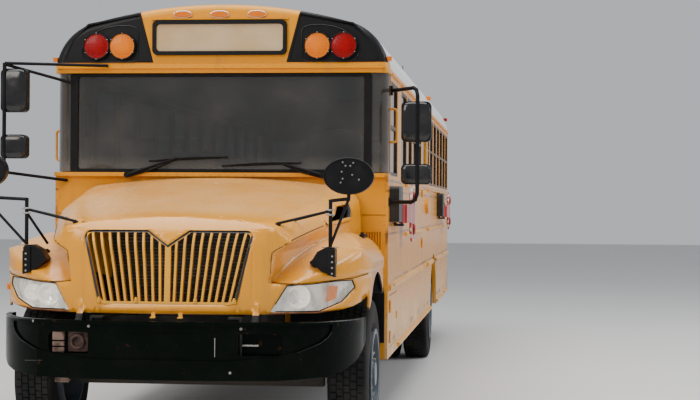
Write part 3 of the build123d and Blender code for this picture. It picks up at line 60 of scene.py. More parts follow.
def aft(distance):
    """Y of a station at a distance behind the cowl's face."""
    return COWL_Y + distance


def linked(name, data):
    """New object in the scene."""
    thing = bpy.data.objects.new(name, data)
    bpy.context.scene.collection.objects.link(thing)
    return thing


# Camera and light

CAMERA_PLACE = (2.1456, -15.2948, 1.6341)
CAMERA_YAW = 0.1048
CAMERA_PITCH = 0.0047
CAMERA_ROLL = 0.0061
SENSOR_MM = 36
PHOTO_WIDTH = 700
FOCAL_PX = 1603


def set_camera():
    """Camera at the photograph's place and angle."""
    forward = Vector((-math.sin(CAMERA_YAW) * math.cos(CAMERA_PITCH),
                      math.cos(CAMERA_YAW) * math.cos(CAMERA_PITCH), math.sin(CAMERA_PITCH)))
    level = Vector((math.cos(CAMERA_YAW), math.sin(CAMERA_YAW), 0))
    upright = level.cross(forward)
    right = level * math.cos(CAMERA_ROLL) + upright * math.sin(CAMERA_ROLL)
    up = upright * math.cos(CAMERA_ROLL) - level * math.sin(CAMERA_ROLL)
    data = bpy.data.cameras.new("camera")
    data.sensor_fit = "HORIZONTAL"
    data.sensor_width = SENSOR_MM
    data.lens = FOCAL_PX / PHOTO_WIDTH * SENSOR_MM
    data.clip_end = 200
    camera = linked("camera", data)
    turn = Matrix((right, up, -forward)).transposed()
    camera.matrix_world = Matrix.Translation(CAMERA_PLACE) @ turn.to_4x4()
    bpy.context.scene.camera = camera


def area_light(name, place, target, size, power, colour):
    """Soft square light that looks at a target."""
    data = bpy.data.lights.new(name, "AREA")
    data.shape = "SQUARE"
    data.size = size
    data.energy = power
    data.color = colour
    lamp = linked(name, data)
    lamp.location = place
    way = Vector(target) - Vector(place)
    lamp.rotation_euler = way.to_track_quat("-Z", "Y").to_euler()


def set_studio():
    """Pale floor, pale surroundings and three soft lights."""
    mesh = bpy.data.meshes.new("studio_floor")
    reach = 60
    mesh.from_pydata([(-reach, -reach, 0), (reach, -reach, 0), (reach, reach, 0), (-reach, reach, 0)], [],
                     [(0, 1, 2, 3)])
    floor = linked("studio_floor", mesh)
    mesh.materials.append(studio_floor_finish())
    world = bpy.data.worlds.new("studio")
    bpy.context.scene.world = world
    world.use_nodes = True
    sky = world.node_tree.nodes["Background"]
    sky.inputs["Color"].default_value = (0.80, 0.83, 0.87, 1)
    sky.inputs["Strength"].default_value = 0.66
    area_light("front_light", (-8, -17, 9), (0, -4, 1.5), 7, 1150, (1.0, 0.94, 0.86))
    area_light("top_light", (0, -5, 15), (0, -3, 1), 14, 3300, (1.0, 0.99, 0.97))
    area_light("side_light", (15, 1, 9), (0, 0, 1), 9, 1250, (0.98, 0.98, 1.0))


# Shader building

# The colour sockets of a mix node share their names with others, so they go by number
MIX_LOW, MIX_HIGH, MIX_RESULT = 6, 7, 2
NOISE_ROUGHNESS = 0.55


def opaque(colour):
    """A colour with full alpha, or a shader term as it is."""
    return colour if isinstance(colour, Term) else (*colour[:3], 1)


def largest(first, *others):
    """The largest of some shader terms."""
    for other in others:
        first = first.math("MAXIMUM", other)
    return first


class Term:
    """A node's output, which can be used in a Python expression."""

    def __init__(self, owner, socket):
        self.owner = owner
        self.socket = socket

    def math(self, operation, *others):
        """Result of one of the math node's operations on this and other terms."""
        inputs = dict(enumerate((self,) + others))
        return self.owner.node("ShaderNodeMath", {"operation": operation}, inputs)

    def __add__(self, other):
        return self.math("ADD", other)

    def __radd__(self, other):
        return self.math("ADD", other)

    def __sub__(self, other):
        return self.math("SUBTRACT", other)

    def __rsub__(self, other):
        return self.owner.node("ShaderNodeMath", {"operation": "SUBTRACT"}, {0: other, 1: self})

    def __mul__(self, other):
        return self.math("MULTIPLY", other)

    def __rmul__(self, other):
        return self.math("MULTIPLY", other)

    def __abs__(self):
        return self.math("ABSOLUTE")

    def ramp(self, low, high):
        """0 below low, 1 above high and a smooth rise between, or a fall where low is the larger."""
        inputs = {"Value": self, "From Min": low, "From Max": high}
        return self.owner.node("ShaderNodeMapRange", {"interpolation_type": "SMOOTHSTEP"}, inputs)


class NodeTree:
    """A tree of nodes, for a material or for geometry."""

    def node(self, kind, settings=None, inputs=None, out=0):
        """Any node: its settings are set first, then the values or links of its sockets."""
        made = self.tree.nodes.new(kind)
        for key, value in (settings or {}).items():
            setattr(made, key, value)
        for key, value in (inputs or {}).items():
            if isinstance(value, Term):
                self.tree.links.new(value.socket, made.inputs[key])
            else:
                made.inputs[key].default_value = value
        return Term(self, made.outputs[out]) if made.outputs else None


class Finish(NodeTree):
    """A node material on Object coordinates."""

    def __init__(self, name):
        self.material = bpy.data.materials.new(name)
        self.material.use_nodes = True
        self.tree = self.material.node_tree
        self.tree.nodes.clear()
        self.place = self.node("ShaderNodeTexCoord", out="Object")
        self.x, self.y, self.z = (self.part(self.place, axis) for axis in "XYZ")

    def part(self, vector, axis):
        """One component of a vector."""
        return self.node("ShaderNodeSeparateXYZ", {}, {0: vector}, axis)

    def facing(self, axis):
        """One component of the surface's direction."""
        return self.part(self.node("ShaderNodeNewGeometry", out="Normal"), axis)

    def noise(self, scale, detail=4, stretch=(1, 1, 1), shift=0.0):
        """Noise between 0 and 1, its pattern squeezed along the axes by stretch and moved by shift."""
        moved = {"Vector": self.place, "Scale": stretch, "Location": (shift, shift, shift)}
        place = self.node("ShaderNodeMapping", {}, moved)
        inputs = {"Vector": place, "Scale": scale, "Detail": detail, "Roughness": NOISE_ROUGHNESS}
        return self.node("ShaderNodeTexNoise", {}, inputs, "Fac")

    def cells(self, scale, randomness=1.0):
        """Distance from the middles of small cells, for prisms, facets and grain."""
        inputs = {"Vector": self.place, "Scale": scale, "Randomness": randomness}
        return self.node("ShaderNodeTexVoronoi", {"feature": "F1"}, inputs, "Distance")

    def mix(self, low, high, share):
        """Colour that goes from low to high as share goes from 0 to 1."""
        inputs = {"Factor": share, MIX_LOW: opaque(low), MIX_HIGH: opaque(high)}
        return self.node("ShaderNodeMix", {"data_type": "RGBA"}, inputs, MIX_RESULT)

    def bump(self, height, distance, strength=1.0):
        """Normal of a height pattern; distance is the height in metres at 1."""
        return self.node("ShaderNodeBump", {}, {"Height": height, "Distance": distance, "Strength": strength})

    def surface(self, colour, roughness, **more):
        """Ends the material in one Principled shader; more names other sockets with underscores."""
        inputs = {"Base Color": opaque(colour), "Roughness": roughness}
        for key, value in more.items():
            inputs[key.replace("_", " ").title().replace("Ior", "IOR")] = value
        shader = self.node("ShaderNodeBsdfPrincipled", {}, inputs)
        self.node("ShaderNodeOutputMaterial", {}, {"Surface": shader})
        return self.material


# Finishes

BUS_YELLOW = (0.76, 0.30, 0.006)
SUN_FADED = (0.75, 0.35, 0.030)
# Pale dust, also used as painted sky sheen on the flanks and on the bonnet's top
PALE_DUST_AND_SHEEN = (0.72, 0.56, 0.36)
ROAD_DIRT = (0.13, 0.095, 0.06)
RUST = (0.17, 0.05, 0.015)
ROOF_WHITE = (0.74, 0.74, 0.72)
GLOSS_BLACK = (0.012, 0.012, 0.013)
PALE_FLOOR = (0.62, 0.62, 0.61)
RUBBER_BLACK = (0.008, 0.008, 0.009)


def studio_floor_finish():
    """Pale matt floor with a faint cloudiness."""
    f = Finish("studio_floor")
    cloud = f.noise(0.25, 3)
    return f.surface(f.mix(PALE_FLOOR, [c * 0.93 for c in PALE_FLOOR], cloud), 0.8)


def paint_layers(f, base, faded, dirt_top=0.95, dirt_share=0.8):
    """Colour and roughness of aged paint: clouds of fading, road dirt from below and in streaks, chips."""
    fade = f.noise(0.9, 5).ramp(0.45, 0.75)
    colour = f.mix(base, faded, fade * 0.55)
    streak = f.noise(1.6, 6, stretch=(6, 6, 0.5), shift=3.1).ramp(0.52, 0.78)
    low = f.z.ramp(dirt_top, 0.45)
    grime = streak * 0.22 + low * f.noise(2.4, 6, shift=7.7).ramp(0.25, 0.75) * dirt_share
    grime = grime.math("MINIMUM", 0.85)
    colour = f.mix(colour, ROAD_DIRT, grime)
    specks = f.noise(38, 3, shift=1.3).ramp(0.70, 0.78)
    chips = specks * f.noise(2.1, 3, shift=5.5).ramp(0.5, 0.65)
    colour = f.mix(colour, RUST, chips * 0.8)
    rough = 0.22 + fade * 0.08 + grime * 0.5 + chips * 0.3
    return colour, rough


def upward(f):
    """1 where a face looks up, 0 where it stands upright."""
    return f.facing("Z").ramp(0.25, 0.95)


def orange_peel(f):
    """Slight waviness of sprayed sheet metal."""
    return f.bump(f.noise(1.7, 2) + f.noise(22, 2) * 0.04, 0.006, 0.35)


# Heights and colour of the dark lines painted by the rub rails as their shadow
RAIL_SHADOW_LINES = (1.098, 1.445, 1.755, 1.830)
RAIL_SHADOW_BROWN = (0.10, 0.045, 0.018)
SKIRT_RUST_Z = 0.66


def body_yellow_finish():
    """Glossy aged bus yellow: pale low on its flanks, partly dust and partly painted sky sheen, rust at front
    and foot, and painted shadow in lines by the rails.
    """
    f = Finish("body_yellow_paint")
    colour, rough = paint_layers(f, BUS_YELLOW, SUN_FADED)
    flank = abs(f.x).ramp(BODY_HALF - 0.03, BODY_HALF - 0.01)
    # Pale low on the flanks: partly road dust, partly painted sheen of the sky
    height = f.z.ramp(1.12, 0.62) * 0.50 + 0.06
    dust_and_sky_sheen = flank * height.math("MINIMUM", 0.95) * (f.noise(1.3, 5, shift=6.1).ramp(0.2, 0.8) * 0.3 + 0.6)
    colour = f.mix(colour, PALE_DUST_AND_SHEEN, dust_and_sky_sheen)
    front = flank * f.y.ramp(COWL_Y + 0.09, COWL_Y + 0.01)
    front = front * f.noise(9, 6, stretch=(1, 1, 0.4)).ramp(0.45, 0.62)
    foot = abs(f.z - SKIRT_RUST_Z).ramp(0.035, 0.01)
    foot = foot * f.noise(6, 6, stretch=(1, 0.6, 1), shift=9.4).ramp(0.48, 0.62)
    # Painted shadow: patchy dark brown lines by the rub rails
    lines = largest(*[abs(f.z - line).ramp(0.014, 0.004) for line in RAIL_SHADOW_LINES])
    soot = f.noise(3.0, 6, stretch=(1, 0.7, 1), shift=2.7).ramp(0.30, 0.60)
    colour = f.mix(colour, RAIL_SHADOW_BROWN, flank * lines * soot * 0.75)
    colour = f.mix(colour, RUST, largest(front, flank * foot) * 0.85)
    return f.surface(colour, rough + dust_and_sky_sheen * 0.2, coat_weight=0.16, coat_roughness=0.09,
                     specular_ior_level=0.2, normal=orange_peel(f))


LUG_MIDDLE_X = 0.55
LUG_TOP_Z = 0.974


def hood_yellow_finish():
    """Bonnet yellow: moulded skin, pale on its top with dust and painted sky sheen, dark red-brown under the
    lamps as rust and painted reflection of the bumper, and black painted on the hinge lugs as the shade of
    the gap below the bonnet.
    """
    f = Finish("bonnet_yellow_paint")
    colour, rough = paint_layers(f, BUS_YELLOW, SUN_FADED, dirt_top=1.02, dirt_share=0.3)
    # Paler on faces that look up: partly dust, partly painted sheen of the sky
    behind_crease = f.y.ramp(NOSE_Y + 0.16, NOSE_Y + 0.46) * 0.9 + 0.1
    dust = upward(f) * behind_crease * (f.noise(3.0, 5, shift=2.2).ramp(0.2, 0.8) * 0.20 + 0.15)
    dust = dust * (1 - abs(abs(f.x) - LUG_MIDDLE_X).ramp(0.022, 0.020) * f.z.ramp(1.045, 1.040))
    colour = f.mix(colour, PALE_DUST_AND_SHEEN, dust)
    # Dark red-brown at the bonnet's foot under the lamps: partly rust, partly painted reflection of the
    # bumper's top
    foot = f.z.ramp(1.000, 0.984) * abs(f.x).ramp(0.60, 0.66)
    foot_rust_and_reflection = f.noise(16, 6, stretch=(1, 1, 0.5)).ramp(0.3, 0.7)
    colour = f.mix(colour, f.mix((0.05, 0.012, 0.008), (0.20, 0.055, 0.02), foot_rust_and_reflection), foot * 0.9)
    # Black painted on the hinge lugs below the bonnet's lower edge, as the shade of the gap there
    painted_lug_shade = f.z.ramp(LUG_TOP_Z, LUG_TOP_Z - 0.004)
    colour = f.mix(colour, GLOSS_BLACK, painted_lug_shade)
    normal = f.bump(f.noise(1.1, 2), 0.004, 0.3)
    return f.surface(colour, rough + dust * 0.15 + painted_lug_shade * 0.5, coat_weight=(1 - painted_lug_shade) * 0.4, coat_roughness=0.2,
                     specular_ior_level=0.35, normal=normal)


GRILLE_FOOT_X = 0.430
GRILLE_FOOT_Z = 1.032
GRILLE_LEAN = 0.109 / 0.456
GRILLE_TOP_Z = 1.488
NOTCH_HALF = 0.130
NOTCH_FOOT_Z = 1.396
NOTCH_SLOPE = 0.092 / NOTCH_HALF
GRILLE_EDGE = 0.017
SHARP = 0.002


def grille_finish():
    """Slats in bonnet yellow, grimy, with painted shade deeper on their flanks, and a black band painted
    round the grille as the shade of the gap at its edge.
    """
    f = Finish("grille_slat_paint")
    # Painted shade: faces that look sideways get a deeper orange
    flank = abs(f.facing("X")).ramp(0.3, 0.8)
    grime = f.noise(7, 5, stretch=(1, 1, 0.4)).ramp(0.4, 0.8)
    colour = f.mix((0.80, 0.37, 0.02), (0.74, 0.31, 0.012), flank)
    colour = f.mix(colour, ROAD_DIRT, grime * 0.25)

    # Black band painted inside the grille's edge as the shade of the gap round it
    def beyond(distance, line):
        return distance.ramp(line - GRILLE_EDGE, line - GRILLE_EDGE + SHARP)
    across = abs(f.x)
    sides = beyond(across - (f.z - GRILLE_FOOT_Z) * GRILLE_LEAN, GRILLE_FOOT_X)
    notch = beyond(f.z - across * NOTCH_SLOPE, NOTCH_FOOT_Z) * across.ramp(NOTCH_HALF + SHARP, NOTCH_HALF)
    top = beyond(f.z, GRILLE_TOP_Z)
    colour = f.mix(colour, GLOSS_BLACK, largest(sides, notch, top))
    return f.surface(colour, 0.25 + grime * 0.2, coat_weight=0.25, coat_roughness=0.08,
                     normal=f.bump(f.noise(40, 3), 0.0005, 0.4))


CORE_LINES = 46.0


def radiator_finish():
    """Black radiator core with fine bright fins in level rows."""
    f = Finish("radiator_core")
    saw = (f.z * CORE_LINES).math("FRACT")
    row = saw.ramp(0.70, 0.78) * saw.ramp(0.96, 0.88) * f.noise(5, 5, stretch=(1, 1, 6)).ramp(0.35, 0.65)
    colour = f.mix((0.006, 0.006, 0.007), (0.30, 0.29, 0.27), row * 0.8)
    return f.surface(colour, 0.45, metallic=row * 0.5, normal=f.bump(saw, 0.002, 0.5))


def sash_finish():
    """Anodised window sash, dark bronze with pale scratches."""
    f = Finish("sash_bronze")
    wear = f.noise(18, 5, stretch=(1, 1, 0.3)).ramp(0.5, 0.8)
    colour = f.mix((0.035, 0.022, 0.015), (0.12, 0.08, 0.055), wear)
    return f.surface(colour, 0.35 + wear * 0.2, metallic=0.35, normal=f.bump(f.noise(120, 2), 0.0004, 0.4))


def rail_finish():
    """Rub rails: faded bus yellow with scraped and rusted spots."""
    f = Finish("rub_rail_paint")
    fade = f.noise(2.2, 5).ramp(0.3, 0.75)
    colour = f.mix((0.76, 0.33, 0.02), (0.75, 0.44, 0.12), fade)
    scrape = f.noise(7, 7, stretch=(1, 0.35, 2), shift=3.3).ramp(0.60, 0.68)
    colour = f.mix(colour, RUST, scrape * 0.9)
    return f.surface(colour, 0.35 + fade * 0.15 + scrape * 0.3, coat_weight=0.2,
                     normal=f.bump(f.noise(30, 4) - scrape * 0.5, 0.001, 0.6))


FIELD_FOOT_X = 0.482
FIELD_FOOT_Z = 2.671
FIELD_TOP_X = 0.579
FIELD_TOP_Z = 3.034
FIELD_LEAN = (FIELD_TOP_X - FIELD_FOOT_X) / (FIELD_TOP_Z - FIELD_FOOT_Z)
CAP_EDGE_DEPTH = 0.075
CAP_WHITE_Z = 2.70


def cap_finish():
    """Front cap: yellow face, black fields round the warning lamps, white behind the rounded edge."""
    f = Finish("front_cap_paint")
    colour, rough = paint_layers(f, BUS_YELLOW, SUN_FADED)
    edge = 0.003
    lean = abs(f.x) - (f.z - FIELD_FOOT_Z) * FIELD_LEAN
    field = lean.ramp(FIELD_FOOT_X, FIELD_FOOT_X + edge) * f.z.ramp(FIELD_FOOT_Z, FIELD_FOOT_Z + edge)
    behind = f.y.ramp(CAP_FRONT_Y + CAP_EDGE_DEPTH, CAP_FRONT_Y + CAP_EDGE_DEPTH + edge)
    field = field * (1 - behind)
    top = behind * f.z.ramp(CAP_WHITE_Z, CAP_WHITE_Z + edge)
    colour = f.mix(colour, GLOSS_BLACK, field)
    colour = f.mix(colour, ROOF_WHITE, top)
    return f.surface(colour, rough + field * 0.1, coat_weight=(1 - field) * 0.18, coat_roughness=0.1,
                     specular_ior_level=0.14, normal=orange_peel(f))


def roof_finish():
    """White roof paint with sooty clouds, and bus yellow low along its sides."""
    f = Finish("roof_white_paint")
    soot = f.noise(1.1, 6, stretch=(1, 0.6, 1)).ramp(0.45, 0.8)
    colour = f.mix(ROOF_WHITE, (0.52, 0.50, 0.46), soot * 0.5)
    low = f.z.ramp(2.72, 2.60)
    colour = f.mix(colour, BUS_YELLOW, low.ramp(0.70, 0.72))
    return f.surface(colour, 0.34 + soot * 0.25, coat_weight=0.2, normal=orange_peel(f))


def black_paint_finish(name, base=GLOSS_BLACK, rough=0.3, dust_share=0.5, rust_share=0.6, gloss=0.3):
    """Black painted steel with road dust and rust where it is chipped."""
    f = Finish(name)
    dust = f.noise(5, 6).ramp(0.42, 0.75)
    colour = f.mix(base, (0.10, 0.09, 0.08), dust * dust_share)
    chips = f.noise(14, 5, shift=4.4).ramp(0.66, 0.72) * rust_share
    colour = f.mix(colour, RUST, chips)
    height = f.noise(60, 3) * 0.2 - chips * 0.5
    return f.surface(colour, rough + dust * 0.25 + chips * 0.3, specular_ior_level=gloss,
                     normal=f.bump(height, 0.001, 0.5))


def rough_metal_finish(name, base, dirt, scale=9.0, metallic=0.4):
    """Cast or mill-finish metal, mottled with dirt."""
    f = Finish(name)
    mottle = f.noise(scale, 7).ramp(0.35, 0.7)
    colour = f.mix(base, dirt, mottle)
    return f.surface(colour, 0.55 + mottle * 0.3, metallic=metallic,
                     normal=f.bump(f.noise(scale * 8, 4), 0.001, 0.6))


def wheel_finish():
    """Painted steel rim, blue-grey under brake dust."""
    f = Finish("wheel_paint")
    dust = f.noise(7, 6).ramp(0.3, 0.75)
    colour = f.mix((0.085, 0.115, 0.15), (0.16, 0.13, 0.10), dust * 0.6)
    chips = f.noise(26, 4, shift=2.7).ramp(0.68, 0.74)
    colour = f.mix(colour, RUST, chips)
    return f.surface(colour, 0.35 + dust * 0.3, normal=f.bump(f.noise(50, 3), 0.0008, 0.5))


def tyre_finish():
    """Road-worn rubber with clouds of grey dust."""
    f = Finish("tyre_rubber")
    dust = f.noise(6, 6).ramp(0.35, 0.75)
    colour = f.mix((0.010, 0.010, 0.011), (0.05, 0.045, 0.04), dust * 0.6)
    return f.surface(colour, 0.75 + dust * 0.15, specular_ior_level=0.2,
                     normal=f.bump(f.noise(90, 4), 0.0008, 0.6))


def rubber_finish(name, base=RUBBER_BLACK, rough=0.6):
    """Moulded black rubber or plastic with a fine grain."""
    f = Finish(name)
    bloom = f.noise(8, 5).ramp(0.4, 0.8)
    colour = f.mix(base, [c + 0.012 for c in base], bloom * 0.5)
    return f.surface(colour, rough + bloom * 0.15, specular_ior_level=0.12,
                     normal=f.bump(f.noise(220, 2), 0.0004, 0.5))


def glass_finish(name, tint, alpha, dirt=0.12):
    """Tinted glossy pane, hazed by clouds of dirt."""
    f = Finish(name)
    haze = f.noise(2.3, 6).ramp(0.45, 0.8)
    colour = f.mix(tint, (0.30, 0.29, 0.27), haze * 0.35)
    return f.surface(colour, 0.03 + haze * 0.1, alpha=haze * dirt + alpha, specular_ior_level=0.9,
                     coat_weight=1.0, coat_roughness=0.02)


def windscreen_finish():
    """Front glass: lightly tinted and glossy, with a thin film of dust, thicker at its foot and ends."""
    f = Finish("windscreen_glass")
    cloud = f.noise(1.8, 5).ramp(0.40, 0.80)
    specks = f.noise(60, 3, shift=2.6).ramp(0.68, 0.76)
    low = f.z.ramp(2.02, 1.89)
    ends = abs(f.x).ramp(0.95, 1.10)
    film = (cloud * 0.25 + low * 0.35 + ends * 0.15 + specks * 0.15).math("MINIMUM", 0.8)
    colour = f.mix((0.018, 0.020, 0.019), (0.36, 0.31, 0.25), film * 0.6)
    return f.surface(colour, 0.03 + film * 0.12, alpha=film * 0.22 + 0.58, specular_ior_level=0.6,
                     coat_weight=1.0, coat_roughness=0.02)


def lens_finish(name, base, deep, glow):
    """Moulded lens with fine prisms and a constant glow."""
    f = Finish(name)
    grid = f.cells(95.0, 0.15)
    cloud = f.noise(14, 4)
    colour = f.mix(deep, base, grid.ramp(0.1, 0.7) * 0.6 + cloud * 0.4)
    return f.surface(colour, 0.25, coat_weight=0.12, coat_roughness=0.04, specular_ior_level=0.15,
                     emission_color=(*base, 1), emission_strength=glow, normal=f.bump(grid, 0.002, 0.7))


SIGN_HALF_X = 0.462
SIGN_HALF_Z = 0.098
SIGN_MIDDLE_Z = 2.851
SIGN_CORNER = 0.03


def sign_finish():
    """Blank destination panel: faded amber film behind glass, in a black surround with round corners."""
    f = Finish("blank_sign_face")
    cloud = f.noise(2.2, 4).ramp(0.35, 0.65)
    colour = f.mix((0.58, 0.44, 0.27), (0.50, 0.32, 0.14), cloud * 0.6)
    across = largest(abs(f.x) - (SIGN_HALF_X - SIGN_CORNER), 0.0)
    up = largest(abs(f.z - SIGN_MIDDLE_Z) - (SIGN_HALF_Z - SIGN_CORNER), 0.0)
    surround = (across * across + up * up).math("SQRT").ramp(SIGN_CORNER - SHARP, SIGN_CORNER)
    colour = f.mix(colour, RUBBER_BLACK, surround)
    return f.surface(colour, 0.18 + surround * 0.3, coat_weight=(1 - surround) * 0.6, coat_roughness=0.03,
                     specular_ior_level=0.15, normal=f.bump(cloud, 0.001, 0.2))


def lamp_shell_finish():
    """Satin housing behind a headlamp cover, grey with pale clouds painted in as the light gathered in the
    lamp, with a constant faint glow.
    """
    f = Finish("lamp_shell")
    cloud = f.noise(11, 3, stretch=(1.4, 1, 0.7)).ramp(0.35, 0.62)
    # Pale clouds: painted light gathered in the housing
    colour = f.mix((0.50, 0.47, 0.41), (0.90, 0.88, 0.83), cloud)
    return f.surface(colour, 0.3, coat_weight=0.3, coat_roughness=0.05, emission_color=(1.0, 0.96, 0.88, 1),
                     emission_strength=0.12, normal=f.bump(cloud, 0.004, 0.4))


def lamp_bowl_finish():
    """Reflector of a headlamp, faceted, painted bright cream as the light gathered in it, with a constant
    glow.
    """
    f = Finish("lamp_bowl")
    facet = f.cells(40.0)
    cloud = f.noise(9, 4)
    # Bright cream: painted light gathered in the reflector
    colour = f.mix((0.86, 0.82, 0.72), (0.95, 0.93, 0.88), cloud)
    return f.surface(colour, 0.12 + facet * 0.15, metallic=0.35, emission_color=(1.0, 0.93, 0.80, 1),
                     emission_strength=0.30, normal=f.bump(facet, 0.002, 0.5))


def chrome_finish():
    """Bright reflector and mirror metal."""
    f = Finish("bright_reflector")
    smear = f.noise(12, 4)
    return f.surface(f.mix((0.86, 0.87, 0.88), (0.70, 0.71, 0.72), smear), smear * 0.08 + 0.04, metallic=1.0)


def galvanised_finish():
    """Zinc-plated screws, nuts and washers."""
    f = Finish("zinc_plate")
    spangle = f.noise(60, 3)
    colour = f.mix((0.42, 0.42, 0.41), (0.25, 0.23, 0.20), spangle)
    return f.surface(colour, 0.38 + spangle * 0.2, metallic=0.9)


def vinyl_finish():
    """Seat vinyl: dark blue-green with a leather grain and paler clouds of wear."""
    f = Finish("seat_vinyl")
    wear = f.noise(3, 5).ramp(0.4, 0.8)
    colour = f.mix((0.022, 0.035, 0.048), (0.05, 0.062, 0.07), wear)
    return f.surface(colour, 0.42 + wear * 0.15, normal=f.bump(f.cells(420.0), 0.0006, 0.6))


def stop_red_finish():
    """Reflective red sheet, a little faded."""
    f = Finish("stop_red_sheet")
    fade = f.noise(5, 4)
    colour = f.mix((0.50, 0.012, 0.012), (0.42, 0.04, 0.03), fade)
    return f.surface(colour, 0.3 + fade * 0.1, coat_weight=0.4, normal=f.bump(f.cells(260.0), 0.0003, 0.4))


FINISHES = {
    "body_yellow": body_yellow_finish(),
    "hood_yellow": hood_yellow_finish(),
    "front_cap": cap_finish(),
    "roof_white": roof_finish(),
    "black_paint": black_paint_finish("gloss_black_paint"),
    "bumper_black": black_paint_finish("bumper_black_paint", (0.0012, 0.0032, 0.002), 0.2, 0.02, 0.2, 0.05),
    "bumper_lip": black_paint_finish("bumper_lip_paint", (0.004, 0.006, 0.006), 0.15, 0.05, 0.1, 0.6),
    "rust_iron": rough_metal_finish("rusty_iron", (0.075, 0.032, 0.022), (0.022, 0.012, 0.009), 22.0, 0.1),
    "grille_slats": grille_finish(),
    "radiator_core": radiator_finish(),
    "sash_bronze": sash_finish(),
    "rub_rail": rail_finish(),
    "lamp_bowl": lamp_bowl_finish(),
    "rust_pale": rough_metal_finish("pale_rusty_iron", (0.20, 0.125, 0.09), (0.05, 0.025, 0.018), 16.0, 0.05),
    "clip_yellow": rubber_finish("clip_yellow_plastic", (0.80, 0.42, 0.05), 0.4),
    "chassis_black": black_paint_finish("chassis_black_paint", (0.02, 0.02, 0.02), 0.55, 0.8, 0.9),
    "cast_iron": rough_metal_finish("cast_iron_grey", (0.05, 0.047, 0.045), (0.11, 0.08, 0.055)),
    "bare_steel": rough_metal_finish("exhaust_steel", (0.22, 0.2, 0.19), (0.16, 0.08, 0.04), metallic=0.7),
    "wheel_grey": wheel_finish(),
    "tyre": tyre_finish(),
    "black_rubber": rubber_finish("seal_rubber"),
    "mirror_black": rubber_finish("mirror_shell_plastic", rough=0.35),
    "mirror_gloss": black_paint_finish("mirror_shell_gloss", RUBBER_BLACK, 0.12, 0.15, 0.0, 0.5),
    "dash_grey": rubber_finish("dashboard_vinyl", (0.03, 0.03, 0.033), 0.55),
    "floor_rubber": rubber_finish("floor_rubber", (0.035, 0.035, 0.038), 0.7),
    "glass": glass_finish("tinted_glass", (0.020, 0.017, 0.014), 0.78),
    "windscreen": windscreen_finish(),
    "lamp_red": lens_finish("red_lens", (0.36, 0.001, 0.003), (0.09, 0.0, 0.001), 0.04),
    "lamp_amber": lens_finish("amber_lens", (0.84, 0.22, 0.001), (0.42, 0.06, 0.001), 0.12),
    "lamp_clear": glass_finish("lamp_cover", (0.90, 0.89, 0.85), 0.07, 0.03),
    "border_white": rubber_finish("reflective_border", (0.72, 0.70, 0.66), 0.4),
    "lamp_shell": lamp_shell_finish(),
    "sign_face": sign_finish(),
    "stop_red": stop_red_finish(),
    "seat_vinyl": vinyl_finish(),
    "chrome": chrome_finish(),
    "zinc": galvanised_finish(),
}
NODE_FINISHES = {
    "hood": "hood_yellow",
    "grille": "grille_slats",
    "front_cap": "front_cap",
    "front_bumper": "bumper_black",
    "windscreen": "windscreen",
    "radiator": "radiator_core",
    "window_sashes": "sash_bronze",
    "rub_rails": "rub_rail",
}


def dress_nodes():
    """Each CAD node gets its finish, by its own name or by its slot."""
    slots = {row["node"]: row["material_slot"] for row in frame["record"]["subparts"]}
    for node, thing in frame["nodes"].items():
        finish = FINISHES[NODE_FINISHES.get(node, slots[node])]
        thing.material_slots[0].material = finish


# Mesh building

# A look onto a skin starts over or ahead of the bus and goes down or back
OVERHEAD = 3.0
AHEAD = -7.0
DOWN = (0, 0, -1)
BACK = (0, 1, 0)


def add_piece(name, mesh, finish, body, replaces=(), bevel=0):
    """Object of a finished mesh that rides on a body, its edges rounded where a bevel is given."""
    thing = linked(name, mesh)
    if not mesh.materials:
        mesh.materials.append(FINISHES[finish])
    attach(thing, body)
    if replaces:
        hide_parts(*replaces)
    if bevel:
        rounding = thing.modifiers.new("bevel", "BEVEL")
        rounding.width = bevel
        rounding.segments = 2
        rounding.limit_method = "ANGLE"
        apply_modifiers(thing)
    return thing


def mesh_from(made, name):
    """Mesh of a bmesh, which is then freed."""
    mesh = bpy.data.meshes.new(name)
    made.to_mesh(mesh)
    made.free()
    return mesh


def smooth_mesh(made, name, sharp_deg):
    """Smooth mesh of a bmesh, with sharp edges where it bends by more than an angle."""
    mesh = mesh_from(made, name)
    mesh.polygons.foreach_set("use_smooth", [True] * len(mesh.polygons))
    mesh.set_sharp_from_angle(angle=math.radians(sharp_deg))
    return mesh


def mesh_of(build, sharp_deg=40):
    """Mesh that a function fills, with outward normals and sharp edges where it bends."""
    made = bmesh.new()
    build(made)
    bmesh.ops.remove_doubles(made, verts=made.verts, dist=1e-5)
    bmesh.ops.recalc_face_normals(made, faces=made.faces)
    return smooth_mesh(made, "mesh", sharp_deg)


def add_box(made, low, high):
    """Closed box between two corners."""
    centre = [(a + b) / 2 for a, b in zip(low, high)]
    size = [abs(b - a) for a, b in zip(low, high)]
    place = Matrix.Translation(centre) @ Matrix.Diagonal((*size, 1))
    bmesh.ops.create_cube(made, size=1, matrix=place)


def add_round(made, start, end, radius, sides=24, tip=None):
    """Closed cylinder or cone between two points."""
    start, end = Vector(start), Vector(end)
    way = end - start
    place = Matrix.Translation((start + end) / 2) @ way.to_track_quat("Z", "Y").to_matrix().to_4x4()
    bmesh.ops.create_cone(made, cap_ends=True, segments=sides, radius1=radius,
                          radius2=radius if tip is None else tip, depth=way.length, matrix=place)


